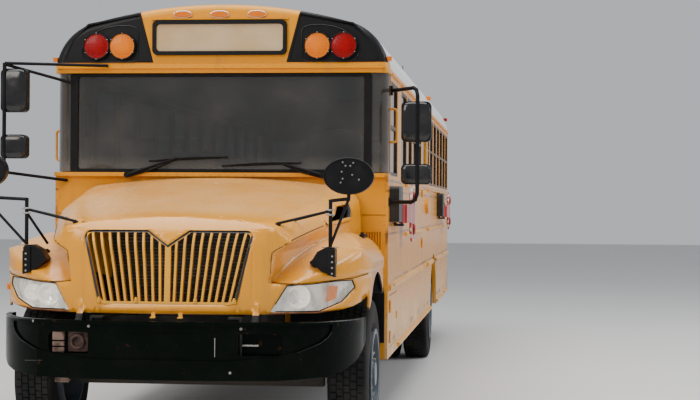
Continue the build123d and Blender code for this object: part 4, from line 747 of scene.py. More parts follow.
def add_turned(made, profile, centre, turns=96, axis="X"):
    """Closed ring turned from a closed profile of (along, radius) points."""
    rings = []
    for turn in range(turns):
        angle = 2 * math.pi * turn / turns
        ring = []
        for along, radius in profile:
            place = {
                "X": (along, radius * math.cos(angle), radius * math.sin(angle)),
                "Y": (radius * math.cos(angle), along, radius * math.sin(angle)),
                "Z": (radius * math.cos(angle), radius * math.sin(angle), along),
            }[axis]
            ring.append(made.verts.new(Vector(place) + Vector(centre)))
        rings.append(ring)
    for turn, ring in enumerate(rings):
        following = rings[(turn + 1) % turns]
        for point in range(len(profile)):
            after = (point + 1) % len(profile)
            made.faces.new((ring[point], ring[after], following[after], following[point]))


def add_walls(made, near, far):
    """Closed solid between two rings of vertices, each of which becomes a face."""
    made.faces.new(near)
    made.faces.new(list(reversed(far)))
    for index in range(len(near)):
        after = (index + 1) % len(near)
        made.faces.new((near[index], near[after], far[after], far[index]))


def add_all(made, other):
    """Moves the whole of a scratch bmesh into another."""
    mesh = mesh_from(other, "scratch")
    made.from_mesh(mesh)
    bpy.data.meshes.remove(mesh)


def add_prism(made, outline, low, high, plane="XZ"):
    """Closed prism of an outline drawn in a plane, between two values of the third axis."""
    def place(point, depth):
        if plane == "XZ":
            return (point[0], depth, point[1])
        if plane == "YZ":
            return (depth, point[0], point[1])
        return (point[0], point[1], depth)
    near = [made.verts.new(place(point, low)) for point in outline]
    far = [made.verts.new(place(point, high)) for point in outline]
    add_walls(made, near, far)


CORNER_STEPS = 6


def rounded(centre, size, corner):
    """Outline of a rounded rectangle."""
    points = []
    for quarter, (across, up) in enumerate(((1, 1), (-1, 1), (-1, -1), (1, -1))):
        hub = (centre[0] + across * (size[0] / 2 - corner), centre[1] + up * (size[1] / 2 - corner))
        for step in range(CORNER_STEPS + 1):
            angle = math.pi / 2 * (quarter + step / CORNER_STEPS)
            points.append((hub[0] + corner * math.cos(angle), hub[1] + corner * math.sin(angle)))
    return points


def circle(centre, radius, count, first=0.0):
    """Points spread evenly on a circle; first shifts them by a share of their spacing."""
    angles = [2 * math.pi * (index + first) / count for index in range(count)]
    return [(centre[0] + radius * math.cos(angle), centre[1] + radius * math.sin(angle)) for angle in angles]


def ellipse(centre, size, steps):
    """Outline of an ellipse."""
    return [(centre[0] + size[0] / 2 * math.cos(2 * math.pi * step / steps),
             centre[1] + size[1] / 2 * math.sin(2 * math.pi * step / steps)) for step in range(steps)]


def apply_modifiers(thing):
    """Turns a piece with modifiers into its plain mesh."""
    view = bpy.context.evaluated_depsgraph_get()
    mesh = bpy.data.meshes.new_from_object(thing.evaluated_get(view))
    thing.modifiers.clear()
    thing.data = mesh


TUBE_ROUNDING = 2


def tube_mesh(paths, radius):
    """Round tubes along lists of points, with closed ends."""
    data = bpy.data.curves.new("tube", "CURVE")
    data.dimensions = "3D"
    data.bevel_depth = radius
    data.bevel_resolution = TUBE_ROUNDING
    data.use_fill_caps = True
    for path in paths:
        line = data.splines.new("POLY")
        line.points.add(len(path) - 1)
        for point, place in zip(line.points, path):
            point.co = (*place, 1)
    thing = linked("tube", data)
    view = bpy.context.evaluated_depsgraph_get()
    mesh = bpy.data.meshes.new_from_object(thing.evaluated_get(view))
    bpy.data.objects.remove(thing)
    bpy.data.curves.remove(data)
    mesh.polygons.foreach_set("use_smooth", [True] * len(mesh.polygons))
    return mesh


# Repeats by Geometry Nodes

class Growth(NodeTree):
    """A Geometry Nodes tree with named inputs."""

    def __init__(self, name, inputs):
        self.tree = bpy.data.node_groups.new(name, "GeometryNodeTree")
        face = self.tree.interface
        face.new_socket("Geometry", in_out="INPUT", socket_type="NodeSocketGeometry")
        face.new_socket("Geometry", in_out="OUTPUT", socket_type="NodeSocketGeometry")
        for label, kind in inputs.items():
            face.new_socket(label, in_out="INPUT", socket_type="NodeSocket" + kind)
        self.source = self.tree.nodes.new("NodeGroupInput")

    def given(self, name):
        """One of the named inputs."""
        return Term(self, self.source.outputs[name])

    def vectors(self, name):
        """The vectors that the base mesh stores under a name."""
        return self.node("GeometryNodeInputNamedAttribute", {"data_type": "FLOAT_VECTOR"}, {"Name": name})

    def finish(self, geometry):
        """Ends the tree: real geometry with its material."""
        real = self.node("GeometryNodeRealizeInstances", {}, {"Geometry": geometry})
        smooth = self.node("GeometryNodeSetShadeSmooth", {}, {"Geometry": real, "Shade Smooth": False})
        inputs = {"Geometry": smooth, "Material": self.given("Finish")}
        painted = self.node("GeometryNodeSetMaterial", {}, inputs)
        self.node("NodeGroupOutput", {}, {"Geometry": painted})
        return self.tree


def stud_tree(shape):
    """Tree that sets a stud at each station of its lines, standing along the facing attribute."""
    inputs = {"Pitch": "Float", "Radius": "Float", "Height": "Float", "Finish": "Material"}
    tree = Growth("studs_" + shape, inputs)
    curve = tree.node("GeometryNodeMeshToCurve", {}, {"Mesh": tree.given("Geometry")})
    stations = tree.node("GeometryNodeResampleCurve", {"mode": "LENGTH"},
                         {"Curve": curve, "Length": tree.given("Pitch")})
    turn = tree.node("FunctionNodeAlignRotationToVector", {"axis": "Z"}, {"Vector": tree.vectors("facing")})
    radius = tree.given("Radius")
    if shape == "rivet":
        base = tree.node("GeometryNodeMeshUVSphere", {}, {"Segments": 8, "Rings": 4, "Radius": 1.0})
    else:
        base = tree.node("GeometryNodeMeshCylinder", {}, {"Vertices": 6, "Radius": 1.0, "Depth": 1.0})
    size = tree.node("ShaderNodeCombineXYZ", {}, {"X": radius, "Y": radius, "Z": tree.given("Height")})
    placed = tree.node("GeometryNodeInstanceOnPoints", {},
                       {"Points": stations, "Instance": base, "Rotation": turn, "Scale": size})
    return tree.finish(placed)


def block_tree():
    """Tree that sets a box on each point, standing along facing and lying along the along attribute."""
    tree = Growth("blocks", {"Size": "Vector", "Finish": "Material"})
    turn = tree.node("FunctionNodeAlignRotationToVector", {"axis": "Z"}, {"Vector": tree.vectors("facing")})
    turn = tree.node("FunctionNodeAlignRotationToVector", {"axis": "X", "pivot_axis": "Z"},
                     {"Rotation": turn, "Vector": tree.vectors("along")})
    block = tree.node("GeometryNodeMeshCube", {}, {"Size": tree.given("Size")})
    placed = tree.node("GeometryNodeInstanceOnPoints", {},
                       {"Points": tree.given("Geometry"), "Instance": block, "Rotation": turn})
    return tree.finish(placed)


TREES = {"rivet": stud_tree("rivet"), "bolt": stud_tree("bolt"), "block": block_tree()}


def set_vectors(mesh, name, vectors):
    """Stores one vector per vertex."""
    store = mesh.attributes.new(name, "FLOAT_VECTOR", "POINT")
    store.data.foreach_set("vector", [value for vector in vectors for value in vector])


def grown(name, mesh, tree, settings, body):
    """Piece grown by one of the trees from a base mesh, as a plain mesh."""
    thing = linked(name, mesh)
    modifier = thing.modifiers.new("grow", "NODES")
    modifier.node_group = TREES[tree]
    for item in TREES[tree].interface.items_tree:
        if item.in_out == "INPUT" and item.name in settings:
            modifier[item.identifier] = settings[item.name]
    apply_modifiers(thing)
    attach(thing, body)
    return thing


def studs(name, lines, shape, pitch, radius, height, finish, body):
    """Rivets or bolts along lines of (points, facing), where facing is one vector or one for each point."""
    points, edges, facings = [], [], []
    for line, facing in lines:
        first = len(points)
        points += line
        edges += [(first + index, first + index + 1) for index in range(len(line) - 1)]
        facings += facing if isinstance(facing, list) else [facing] * len(line)
    mesh = bpy.data.meshes.new(name)
    mesh.from_pydata(points, edges, [])
    set_vectors(mesh, "facing", facings)
    settings = {"Pitch": pitch, "Radius": radius, "Height": height, "Finish": FINISHES[finish]}
    return grown(name, mesh, shape, settings, body)


def blocks(name, rows, size, finish, body):
    """Boxes at (point, facing, along) rows."""
    mesh = bpy.data.meshes.new(name)
    mesh.from_pydata([row[0] for row in rows], [], [])
    set_vectors(mesh, "facing", [row[1] for row in rows])
    set_vectors(mesh, "along", [row[2] for row in rows])
    return grown(name, mesh, "block", {"Size": size, "Finish": FINISHES[finish]}, body)


# Tyres and wheels

TYRE_R = 0.51
GROOVE = 0.013
BEAD_R = 0.287
TREAD_ROWS = (-0.088, -0.045, 0.0, 0.045, 0.088)
TREAD_BLOCKS = 64
TREAD_BLOCK_W = 0.036
TREAD_SINK = 0.0035
RIB_GAP = 0.008


def tyre_profile():
    """Closed section of one tyre: bead, bulged sidewall with two rings, shoulder and grooved tread."""
    half = [(0.092, BEAD_R), (0.104, 0.294), (0.113, 0.322), (0.1235, 0.345), (0.126, 0.348),
            (0.1265, 0.354), (0.128, 0.372), (0.1345, 0.400), (0.1348, 0.415), (0.1325, 0.440),
            (0.1335, 0.443), (0.1328, 0.452), (0.129, 0.468), (0.124, 0.484), (0.118, 0.494),
            (0.110, TYRE_R - GROOVE)]
    return half + [(-along, radius) for along, radius in reversed(half)]


def add_tyres(name, centres, axle_y, body, node):
    """Tyres of one wheel body: turned carcasses, and tread blocks grown round them."""
    def build(made):
        for centre_x in centres:
            add_turned(made, tyre_profile(), (centre_x, axle_y, HUB_Z), 96)
    add_piece(name, mesh_of(build, 50), "tyre", body, replaces=[node])
    rows = []
    for centre_x in centres:
        for lane, across in enumerate(TREAD_ROWS):
            for count in range(TREAD_BLOCKS):
                angle = 2 * math.pi * (count + 0.5 * (lane % 2)) / TREAD_BLOCKS
                out = Vector((0, math.cos(angle), math.sin(angle)))
                depth = TYRE_R - GROOVE / 2 - TREAD_SINK
                place = Vector((centre_x + across, axle_y, HUB_Z)) + out * depth
                rows.append((place, out, (1, 0, 0)))
    length = 2 * math.pi * TYRE_R / TREAD_BLOCKS - RIB_GAP
    blocks(name + "_tread", rows, (TREAD_BLOCK_W, length, GROOVE), "tyre", body)


NUT_RING_R = 0.143
NUTS = 10


def add_nuts(name, face_x, side, axle_y, body):
    """Ring of wheel nuts on a disc's outer face."""
    hub = (axle_y, HUB_Z)
    lines = []
    for y, z in circle(hub, NUT_RING_R, NUTS):
        lines.append(([(face_x, y, z), (face_x + side * 0.001, y, z)], (side, 0, 0)))
    studs(name, lines, "bolt", 1.0, 0.019, 0.046, "zinc", body)

    def ends(made):
        for y, z in circle(hub, NUT_RING_R, NUTS, 0.01):
            add_round(made, (face_x, y, z), (face_x + side * 0.042, y, z), 0.010, 12, 0.008)
        add_turned(made, [(0, 0.166), (side * 0.004, 0.168), (side * 0.006, 0.172), (0, 0.176)],
                   (face_x, *hub), 48)
    add_piece(name + "_studs", mesh_of(ends), "zinc", body)


OUTER_WHEEL_X = 1.046
INNER_WHEEL_X = 0.728
FRONT_DISC_X = 1.137
REAR_DISC_X = 0.948


def dress_wheels():
    """Tyres with tread and wheel nuts of every wheel."""
    for side, word in ((1, "left"), (-1, "right")):
        front, rear = "front_wheel_" + word, "rear_wheels_" + word
        outer, inner = side * OUTER_WHEEL_X, side * INNER_WHEEL_X
        add_tyres("tyre_front_" + word, [outer], FRONT_AXLE_Y, front, "front_tyre_" + word)
        add_tyres("tyres_rear_" + word, [outer, inner], REAR_AXLE_Y, rear, "rear_tyres_" + word)
        add_nuts("nuts_front_" + word, side * FRONT_DISC_X, side, FRONT_AXLE_Y, front)
        add_nuts("nuts_rear_" + word, side * REAR_DISC_X, side, REAR_AXLE_Y, rear)


# Rivets, seams and trim of the shell

PILLARS = (0.02, 0.89, 1.2, 1.925, 2.6, 3.275, 3.95, 4.88, 5.31, 6.04, 6.75, 7.42, 8.12, 8.82, 9.5)
PANEL_BANDS = ((0.62, 1.02), (1.10, 1.39), (1.46, 1.79))
ROOF_BOWS = 13
FIRST_BOW = 0.35
ROOF_RIVET_LIFT = -0.0037
ARCH_HALF = 0.66


def roof_arc(y, lift, steps=24):
    """Points over the roof's cross-section from one eave to the other, with their outward directions."""
    centre_x = BODY_HALF - CORNER_R
    rise = ROOF_Z - EAVE_Z
    crown = (centre_x ** 2 + rise ** 2 - CORNER_R ** 2) / (2 * (rise - CORNER_R))
    hub_z = ROOF_Z - crown
    turn = math.acos(centre_x / (crown - CORNER_R))
    points, facings = [], []
    for step in range(steps + 1):
        angle = math.pi * step / steps
        if angle < turn or angle > math.pi - turn:
            side = 1 if angle < turn else -1
            local = angle if side > 0 else math.pi - angle
            hub = Vector((side * centre_x, 0, EAVE_Z))
            out = Vector((side * math.cos(local), 0, math.sin(local)))
            place = hub + out * (CORNER_R + lift)
        else:
            out = Vector((math.cos(angle), 0, math.sin(angle)))
            place = Vector((0, 0, hub_z)) + out * (crown + lift)
        points.append((place.x, y, place.z))
        facings.append(tuple(out))
    return points, facings


INTAKE = ((-1.035, 1.520), (-0.445, 1.552), (-0.385, 1.672), (-0.710, 1.655))
INTAKE_DEPTH_X = 0.80
INTAKE_END = -0.37
INTAKE_WALL_Z = (1.500, 1.540, 1.580, 1.620)


def dress_intake():
    """Black baffle of the air duct behind the intake in the side of the bonnet."""
    skin = skin_of(frame["nodes"]["hood"].data)
    outline = []
    for station, z in INTAKE:
        top, _ = seen(skin, (INTAKE_DEPTH_X, aft(station), OVERHEAD), DOWN)
        outline.append((aft(station), min(z, top[2] - 0.02)))

    end = aft(INTAKE_END)
    wall = [(INTAKE_DEPTH_X, INTAKE_WALL_Z[0])]
    for z in INTAKE_WALL_Z:
        side, _ = seen(skin, (3.0, end, z), (-1, 0, 0))
        wall.append((side[0] - 0.014, z))
    top, _ = seen(skin, (INTAKE_DEPTH_X, end, OVERHEAD), DOWN)
    wall.append((INTAKE_DEPTH_X, min(1.68, top[2] - 0.02)))

    def baffle(made):
        add_prism(made, outline, INTAKE_DEPTH_X - 0.006, INTAKE_DEPTH_X, "YZ")
        add_prism(made, wall, end, end + 0.006)
    add_piece("intake_baffle", mesh_of(baffle), "mirror_black", "hood", bevel=0.0015)


SHIELD_LINE = ((0.520, 0.668), (1.196, 0.668), (1.196, 1.010), (1.188, 1.080), (1.165, 1.140), (1.120, 1.168),
               (1.060, 1.176), (0.960, 1.170), (0.860, 1.140), (0.740, 1.095), (0.620, 1.050), (0.520, 1.020))
CORNER_SEAMS = ((1.031, 1.582), (1.204, 1.582))


def dress_cowl():
    """Black splash shields behind the front wheels and the corner seams of the cowl."""
    def shields(made):
        for side in (-1, 1):
            outline = [(side * x, z) for x, z in SHIELD_LINE]
            add_prism(made, outline, COWL_Y - 0.005, COWL_Y + 0.001)
    add_piece("splash_shields", mesh_of(shields), "mirror_black", "body", bevel=0.0015)
    seams = [[(side * x, COWL_Y - 0.0005, z) for x, z in CORNER_SEAMS] for side in (-1, 1)]
    add_piece("cowl_seams", tube_mesh(seams, 0.002), "black_rubber", "body")


def riveted(side, station, low):
    """Whether a pillar's rivets show: none at the entrance, the rear wheel's arch or the front stop arm."""
    entrance = side < 0 and station < 1.1
    arch = abs(aft(station) - REAR_AXLE_Y) < ARCH_HALF and low < 1.1
    stop_arm = side > 0 and 0.13 < station < 0.9
    return not (entrance or arch or stop_arm)


def dress_shell():
    """Rivet rows of the roof, the side panels, the cowl and the visor strip."""
    lines = [roof_arc(aft(FIRST_BOW + step * WINDOW_PITCH), ROOF_RIVET_LIFT) for step in range(ROOF_BOWS)]
    studs("roof_rivets", lines, "rivet", 0.09, 0.006, 0.0035, "roof_white", "body")
    lines = []
    for side in (-1, 1):
        x = side * BODY_HALF
        for station in PILLARS:
            y = aft(station)
            for low, high in PANEL_BANDS:
                if riveted(side, station, low):
                    lines.append(([(x, y, low), (x, y, high)], (side, 0, 0)))
        lines.append(([(x, aft(1.05), 2.585), (x, REAR_Y - 0.06, 2.585)], (side, 0, 0)))
    studs("side_rivets", lines, "rivet", 0.055, 0.006, 0.003, "body_yellow", "body")
    lines = [([(-1.15, CAP_FRONT_Y - 0.018, 2.652), (1.15, CAP_FRONT_Y - 0.018, 2.652)], (0, -1, 0))]
    lines.append(([(-1.19, COWL_Y - 0.04, 1.866), (1.19, COWL_Y - 0.04, 1.866)], (0, -1, 0)))
    for side in (-1, 1):
        lines.append(([(side * 1.19, COWL_Y, 0.62), (side * 1.19, COWL_Y, 1.83)], (0, -1, 0)))
    studs("front_rivets", lines, "rivet", 0.062, 0.0065, 0.0035, "body_yellow", "body")


# Bonnet skin and trim

CREASE_DEG = 60
SKIN_STEP = 0.05
SKIN_SPLITS = 7
SKIN_PASSES = 14
LUG_X = (0.52, 0.58)
LUG_HELD_Z = 1.06
LUG_FLUSH_Y = -5.590
BONNET_MIDDLE = (0, -4.9, 1.1)


def soft_bonnet():
    """Bonnet with its shallow creases rounded as in a moulding; openings, steps and lugs keep their edges."""
    made = bmesh.new()
    made.from_mesh(frame["nodes"]["hood"].data)
    bmesh.ops.remove_doubles(made, verts=made.verts, dist=1e-5)
    for _ in range(SKIN_SPLITS):
        long_edges = [edge for edge in made.edges if edge.calc_length() > SKIN_STEP]
        if not long_edges:
            break
        bmesh.ops.subdivide_edges(made, edges=long_edges, cuts=1)
        bmesh.ops.triangulate(made, faces=[face for face in made.faces if len(face.verts) > 3])
    made.normal_update()
    held = set()
    for edge in made.edges:
        if len(edge.link_faces) != 2 or edge.calc_face_angle() > math.radians(CREASE_DEG):
            held.update(edge.verts)
    for vert in made.verts:
        if LUG_X[0] < abs(vert.co.x) < LUG_X[1] and vert.co.z < LUG_HELD_Z:
            held.add(vert)
    free = [vert for vert in made.verts if vert not in held]
    for _ in range(SKIN_PASSES):
        bmesh.ops.smooth_vert(made, verts=free, factor=0.5, use_axis_x=True, use_axis_y=True, use_axis_z=True)
    for vert in made.verts:
        if LUG_X[0] < abs(vert.co.x) < LUG_X[1] and vert.co.z > LUG_TOP_Z:
            vert.co.y = max(vert.co.y, LUG_FLUSH_Y)
    made.normal_update()
    for face in made.faces:
        inside = face.normal.dot(face.calc_center_median() - Vector(BONNET_MIDDLE)) < 0
        face.material_index = 1 if inside else 0
    mesh = smooth_mesh(made, "bonnet_skin", CREASE_DEG)
    mesh.materials.append(FINISHES["hood_yellow"])
    mesh.materials.append(FINISHES["chassis_black"])
    return add_piece("bonnet_skin", mesh, "hood_yellow", "hood", replaces=["hood"])


def skin_of(mesh):
    """Search tree of a mesh for straight looks onto it."""
    corners = [vert.co for vert in mesh.vertices]
    return BVHTree.FromPolygons(corners, [list(face.vertices) for face in mesh.polygons])


def seen(skin, place, way):
    """Point of a skin that is met from a place along a direction, and the skin's normal there."""
    return skin.ray_cast(Vector(place), Vector(way))[:2]


def along(stops, step=0.03):
    """Stops joined by points at most a step apart."""
    points = []
    for start, end in zip(stops, stops[1:]):
        start, end = Vector(start), Vector(end)
        count = max(1, math.ceil((end - start).length / step))
        points += [start.lerp(end, part / count) for part in range(count)]
    return points + [Vector(stops[-1])]


def front_line(skin, stops, side=1, sink=0.0):
    """Line on a skin under a front view's stops (x, z)."""
    line = []
    for x, z in along(stops):
        point, _ = seen(skin, (side * x, AHEAD, z), BACK)
        if point is not None:
            line.append((point.x, point.y + sink, point.z))
    return line


def add_head(made, place, way, radius, height, sides=10):
    """Screw head: a washer under a tapered button."""
    place, way = Vector(place), Vector(way).normalized()
    add_round(made, place, place + way * height * 0.35, radius * 1.35, sides)
    add_round(made, place + way * height * 0.3, place + way * height, radius, sides, radius * 0.55)


SEAM_UPPER = ((0.642, 1.353), (0.672, 1.374), (0.718, 1.401), (0.775, 1.445), (0.832, 1.483), (0.885, 1.514))
SEAM_SIDE = ((0.642, 1.350), (0.636, 1.300), (0.628, 1.225))
SEAM_LOWER = ((0.640, 1.166), (0.745, 1.160), (0.855, 1.165), (0.977, 1.175), (1.112, 1.188), (1.185, 1.209))
CLIP_X = (-0.4255, -0.192, 0.177, 0.420)
MIRROR_Y = COWL_Y - 1.46
MIRROR_POST_X = 0.976
KITE = ((0.863, 1.294), (0.900, 1.357), (0.960, 1.388), (1.010, 1.383), (1.010, 1.203), (0.928, 1.233))
KITE_FLANGE = ((0.966, 1.376), (1.014, 1.374), (1.014, 1.200), (0.966, 1.214))
KITE_SHIFT = 0.038
DISCS = ((1.090, 1.830), (-1.260, 1.860))
DISC_SCREWS = ((-0.036, 0.086), (0.012, 0.064), (0.030, 0.083), (-0.042, 0.027), (-0.036, -0.016),
               (-0.048, -0.041), (0.024, 0.008), (0.066, -0.022), (-0.018, 0.064))
DISC_FLATTEN = 0.735
LATCH = (1.076, -4.32)
SIDE_MARKER = (-5.06, 1.105)
KITE_Y = (-5.400, -5.290)
FLANGE_Y = -5.408
FLANGE_SCREW_X = 0.996
POST_CLAMPS_Z = (1.588, 1.618)
STAY_FEET = (
    # side, x and Y of each foot
    (1, 0.663, -5.461),
    (-1, -0.611, -5.495),
)
LONE_FOOT = (-0.885, -5.18)


def dress_bonnet():
    """Soft skin with its seams, latches, clips and side marker, and the fittings of the crossview mirrors."""
    skin = skin_of(soft_bonnet().data)
    seams = []
    for side in (-1, 1):
        for stops in (SEAM_UPPER, SEAM_SIDE, SEAM_LOWER):
            seams.append(front_line(skin, stops, side, 0.001))
    add_piece("bonnet_seams", tube_mesh(seams, 0.0028), "black_rubber", "hood")

    def latches(made):
        for side in (-1, 1):
            low, _ = seen(skin, (side * 1.075, -4.30, 2), DOWN)
            add_box(made, (side * 1.060, -4.36, low.z - 0.004), (side * 1.092, -4.22, low.z + 0.020))
            add_box(made, (side * 1.064, -4.24, low.z + 0.004), (side * 1.088, -4.02, low.z + 0.014))
            middle = (side * LATCH[0], LATCH[1])
            add_round(made, (*middle, low.z + 0.018), (*middle, low.z + 0.034), 0.012, 12)
    add_piece("bonnet_latches", mesh_of(latches), "black_rubber", "hood", bevel=0.003)

    slats = skin_of(frame["nodes"]["grille"].data)

    def clips(made):
        for x in CLIP_X:
            point = slats.find_nearest(Vector((x, -5.66, 1.046)))[0]
            add_box(made, (x - 0.011, point.y - 0.008, 1.040), (x + 0.011, point.y + 0.006, 1.066))
            add_box(made, (x - 0.005, point.y - 0.014, 1.052), (x + 0.005, point.y, 1.075))
        for x in (-0.080, 0.090):
            add_box(made, (x - 0.016, -5.662, 0.948), (x + 0.016, -5.630, 0.957))
            add_box(made, (x - 0.012, -5.640, 0.950), (x + 0.012, -5.630, 0.982))
    add_piece("bonnet_clips", mesh_of(clips), "clip_yellow", "hood", bevel=0.002)

    def marker(made):
        point, _ = seen(skin, (-2, *SIDE_MARKER), (1, 0, 0))
        outline = rounded(SIDE_MARKER, (0.085, 0.042), 0.012)
        add_prism(made, outline, point.x - 0.010, point.x + 0.012, "YZ")
    add_piece("fender_marker", mesh_of(marker), "lamp_amber", "hood", bevel=0.003)

    def brackets(made):
        for side, shift in ((-1, KITE_SHIFT), (1, 0)):
            add_prism(made, [(side * (x - shift), z) for x, z in KITE], *KITE_Y)
            add_prism(made, [(side * (x - shift), z) for x, z in KITE_FLANGE], FLANGE_Y, KITE_Y[1])
        for side, (x, z) in zip((1, -1), DISCS):
            profile = [(-0.034, 0.148), (-0.036, 0.152), (-0.030, 0.158), (0.026, 0.158), (0.030, 0.150)]
            ring = bmesh.new()
            add_turned(ring, profile, (0, 0, 0), 64, "Y")
            bmesh.ops.scale(ring, vec=(1, 1, DISC_FLATTEN), verts=ring.verts)
            bmesh.ops.translate(ring, vec=(x, MIRROR_Y, z), verts=ring.verts)
            add_all(made, ring)
    add_piece("crossview_brackets", mesh_of(brackets), "mirror_black", "hood", bevel=0.003)

    def hardware(made):
        for side in (-1, 1):
            post_x = side * MIRROR_POST_X
            for z in POST_CLAMPS_Z:
                profile = [(-0.006, 0.0125), (-0.006, 0.020), (0.006, 0.020), (0.006, 0.0125)]
                add_turned(made, profile, (post_x, MIRROR_Y, z), 20, "Z")
                bolt_y = MIRROR_Y - 0.016
                add_round(made, (post_x - 0.03, bolt_y, z), (post_x + 0.03, bolt_y, z), 0.004, 8)
            add_prism(made, ellipse((post_x, MIRROR_Y), (0.105, 0.06), 24), 1.380, 1.386, "XY")
            screw_x = FLANGE_SCREW_X if side > 0 else KITE_SHIFT - FLANGE_SCREW_X
            for step in range(4):
                add_head(made, (screw_x, FLANGE_Y, 1.222 + step * 0.036), (0, -1, 0), 0.005, 0.005)
        for x, z in DISCS:
            for across, up in DISC_SCREWS:
                add_head(made, (x + across, MIRROR_Y - 0.030, z + up), (0, -1, 0), 0.0045, 0.005)
    add_piece("crossview_hardware", mesh_of(hardware), "zinc", "hood")

    def knobs(made):
        for side, x, y in STAY_FEET:
            point, normal = seen(skin, (x, y, OVERHEAD), DOWN)
            add_head(made, point, normal, 0.013, 0.018, 16)
            foot = point + Vector((0, 0, 0.008))
            add_round(made, (side * MIRROR_POST_X, MIRROR_Y, 1.612), foot, 0.009, 16)
        point, normal = seen(skin, (*LONE_FOOT, OVERHEAD), DOWN)
        add_head(made, point, normal, 0.014, 0.020, 16)
    add_piece("stay_feet", mesh_of(knobs), "mirror_black", "hood")


# Bumper trim

SMILE = ((1.004, 0.872), (0.985, 0.840), (0.945, 0.808), (0.821, 0.758), (0.700, 0.730), (0.450, 0.703),
         (-0.450, 0.703), (-0.700, 0.730), (-0.821, 0.758), (-0.945, 0.808), (-0.985, 0.840), (-1.004, 0.872))


LIP_Z = 0.931
PULL_SLOT = ((-0.899, 0.674), (-0.765, 0.683))
BUMPER_BOLTS = ((-0.461, 0.901), (0.481, 0.896), (0.419, 0.631), (-0.835, 0.922))
HOOK_SHANKS_Z = ((0.734, 0.764), (0.772, 0.800), (0.808, 0.862))
HOOK_OPENING_X = (0.474, 0.740)
HOOK_EYE = (-0.545, -5.676, 0.800)
EYE_R = 0.038
EYE_BAR_R = 0.010


def dress_bumper():
    """Lips and creases, bolts, a bright strip, and tow hooks and liners in the openings."""
    face = skin_of(frame["nodes"]["front_bumper"].data)
    lip = front_line(face, ((-1.150, LIP_Z), (1.150, LIP_Z)), 1, 0.0042)
    smile = front_line(face, [(x, z - 0.006) for x, z in SMILE], 1, 0.0029)
    slot = front_line(face, PULL_SLOT, 1, 0.001)
    add_piece("bumper_lips", tube_mesh([lip], 0.004), "bumper_lip", "body")
    add_piece("bumper_creases", tube_mesh([smile, slot], 0.0028), "bumper_lip", "body")

    def bright(made):
        for x, z in BUMPER_BOLTS:
            point, normal = seen(face, (x, AHEAD, z), BACK)
            add_head(made, point, normal, 0.0065, 0.005)
        add_box(made, (0.3245, -5.7560, 0.727), (0.3290, -5.7530, 0.841))
        add_round(made, (0.482, -5.668, 0.790), (0.580, -5.668, 0.791), 0.006, 10)
        add_round(made, (0.482, -5.668, 0.790), (0.482, -5.640, 0.790), 0.006, 10)
    add_piece("bumper_bolts", mesh_of(bright), "zinc", "body")

    def pale_iron(made):
        for low, high in HOOK_SHANKS_Z:
            add_box(made, (-0.704, -5.672, low), (-0.630, -5.640, high))
        add_box(made, (-0.690, -5.662, 0.548), (-0.600, -5.648, 0.590))
        add_box(made, (-0.690, -5.662, 0.556), (-0.600, -5.610, 0.566))
    add_piece("tow_hook_shanks", mesh_of(pale_iron), "rust_pale", "body", bevel=0.004)

    def dark_iron(made):
        add_box(made, (-0.606, -5.664, 0.738), (-0.480, -5.640, 0.862))
        add_turned(made, circle((0, EYE_R), EYE_BAR_R, 8), HOOK_EYE, 28, "Y")
    add_piece("tow_hook_plates", mesh_of(dark_iron), "rust_iron", "body", bevel=0.003)

    def liners(made):
        for side in (-1, 1):
            x = sorted(side * edge for edge in HOOK_OPENING_X)
            add_box(made, (x[0], -5.6360, 0.710), (x[1], -5.6330, 0.890))
    add_piece("hook_openings_liners", mesh_of(liners), "bumper_black", "body")


# Headlamps

LAMP_BOWLS = (
    # x, z, radius of each round reflector
    (0.795, 1.078, 0.070),
    (0.925, 1.085, 0.052),
)
LAMP_EDGE = ((0.634, 0.991), (0.730, 1.150), (0.890, 1.159), (1.000, 1.172), (1.100, 1.177), (1.116, 1.130),
             (1.043, 1.043), (0.914, 0.988), (0.634, 0.991))


TURN_CHAMBER = ((0.952, 1.040), (1.008, 1.062), (1.022, 1.140), (0.966, 1.142))


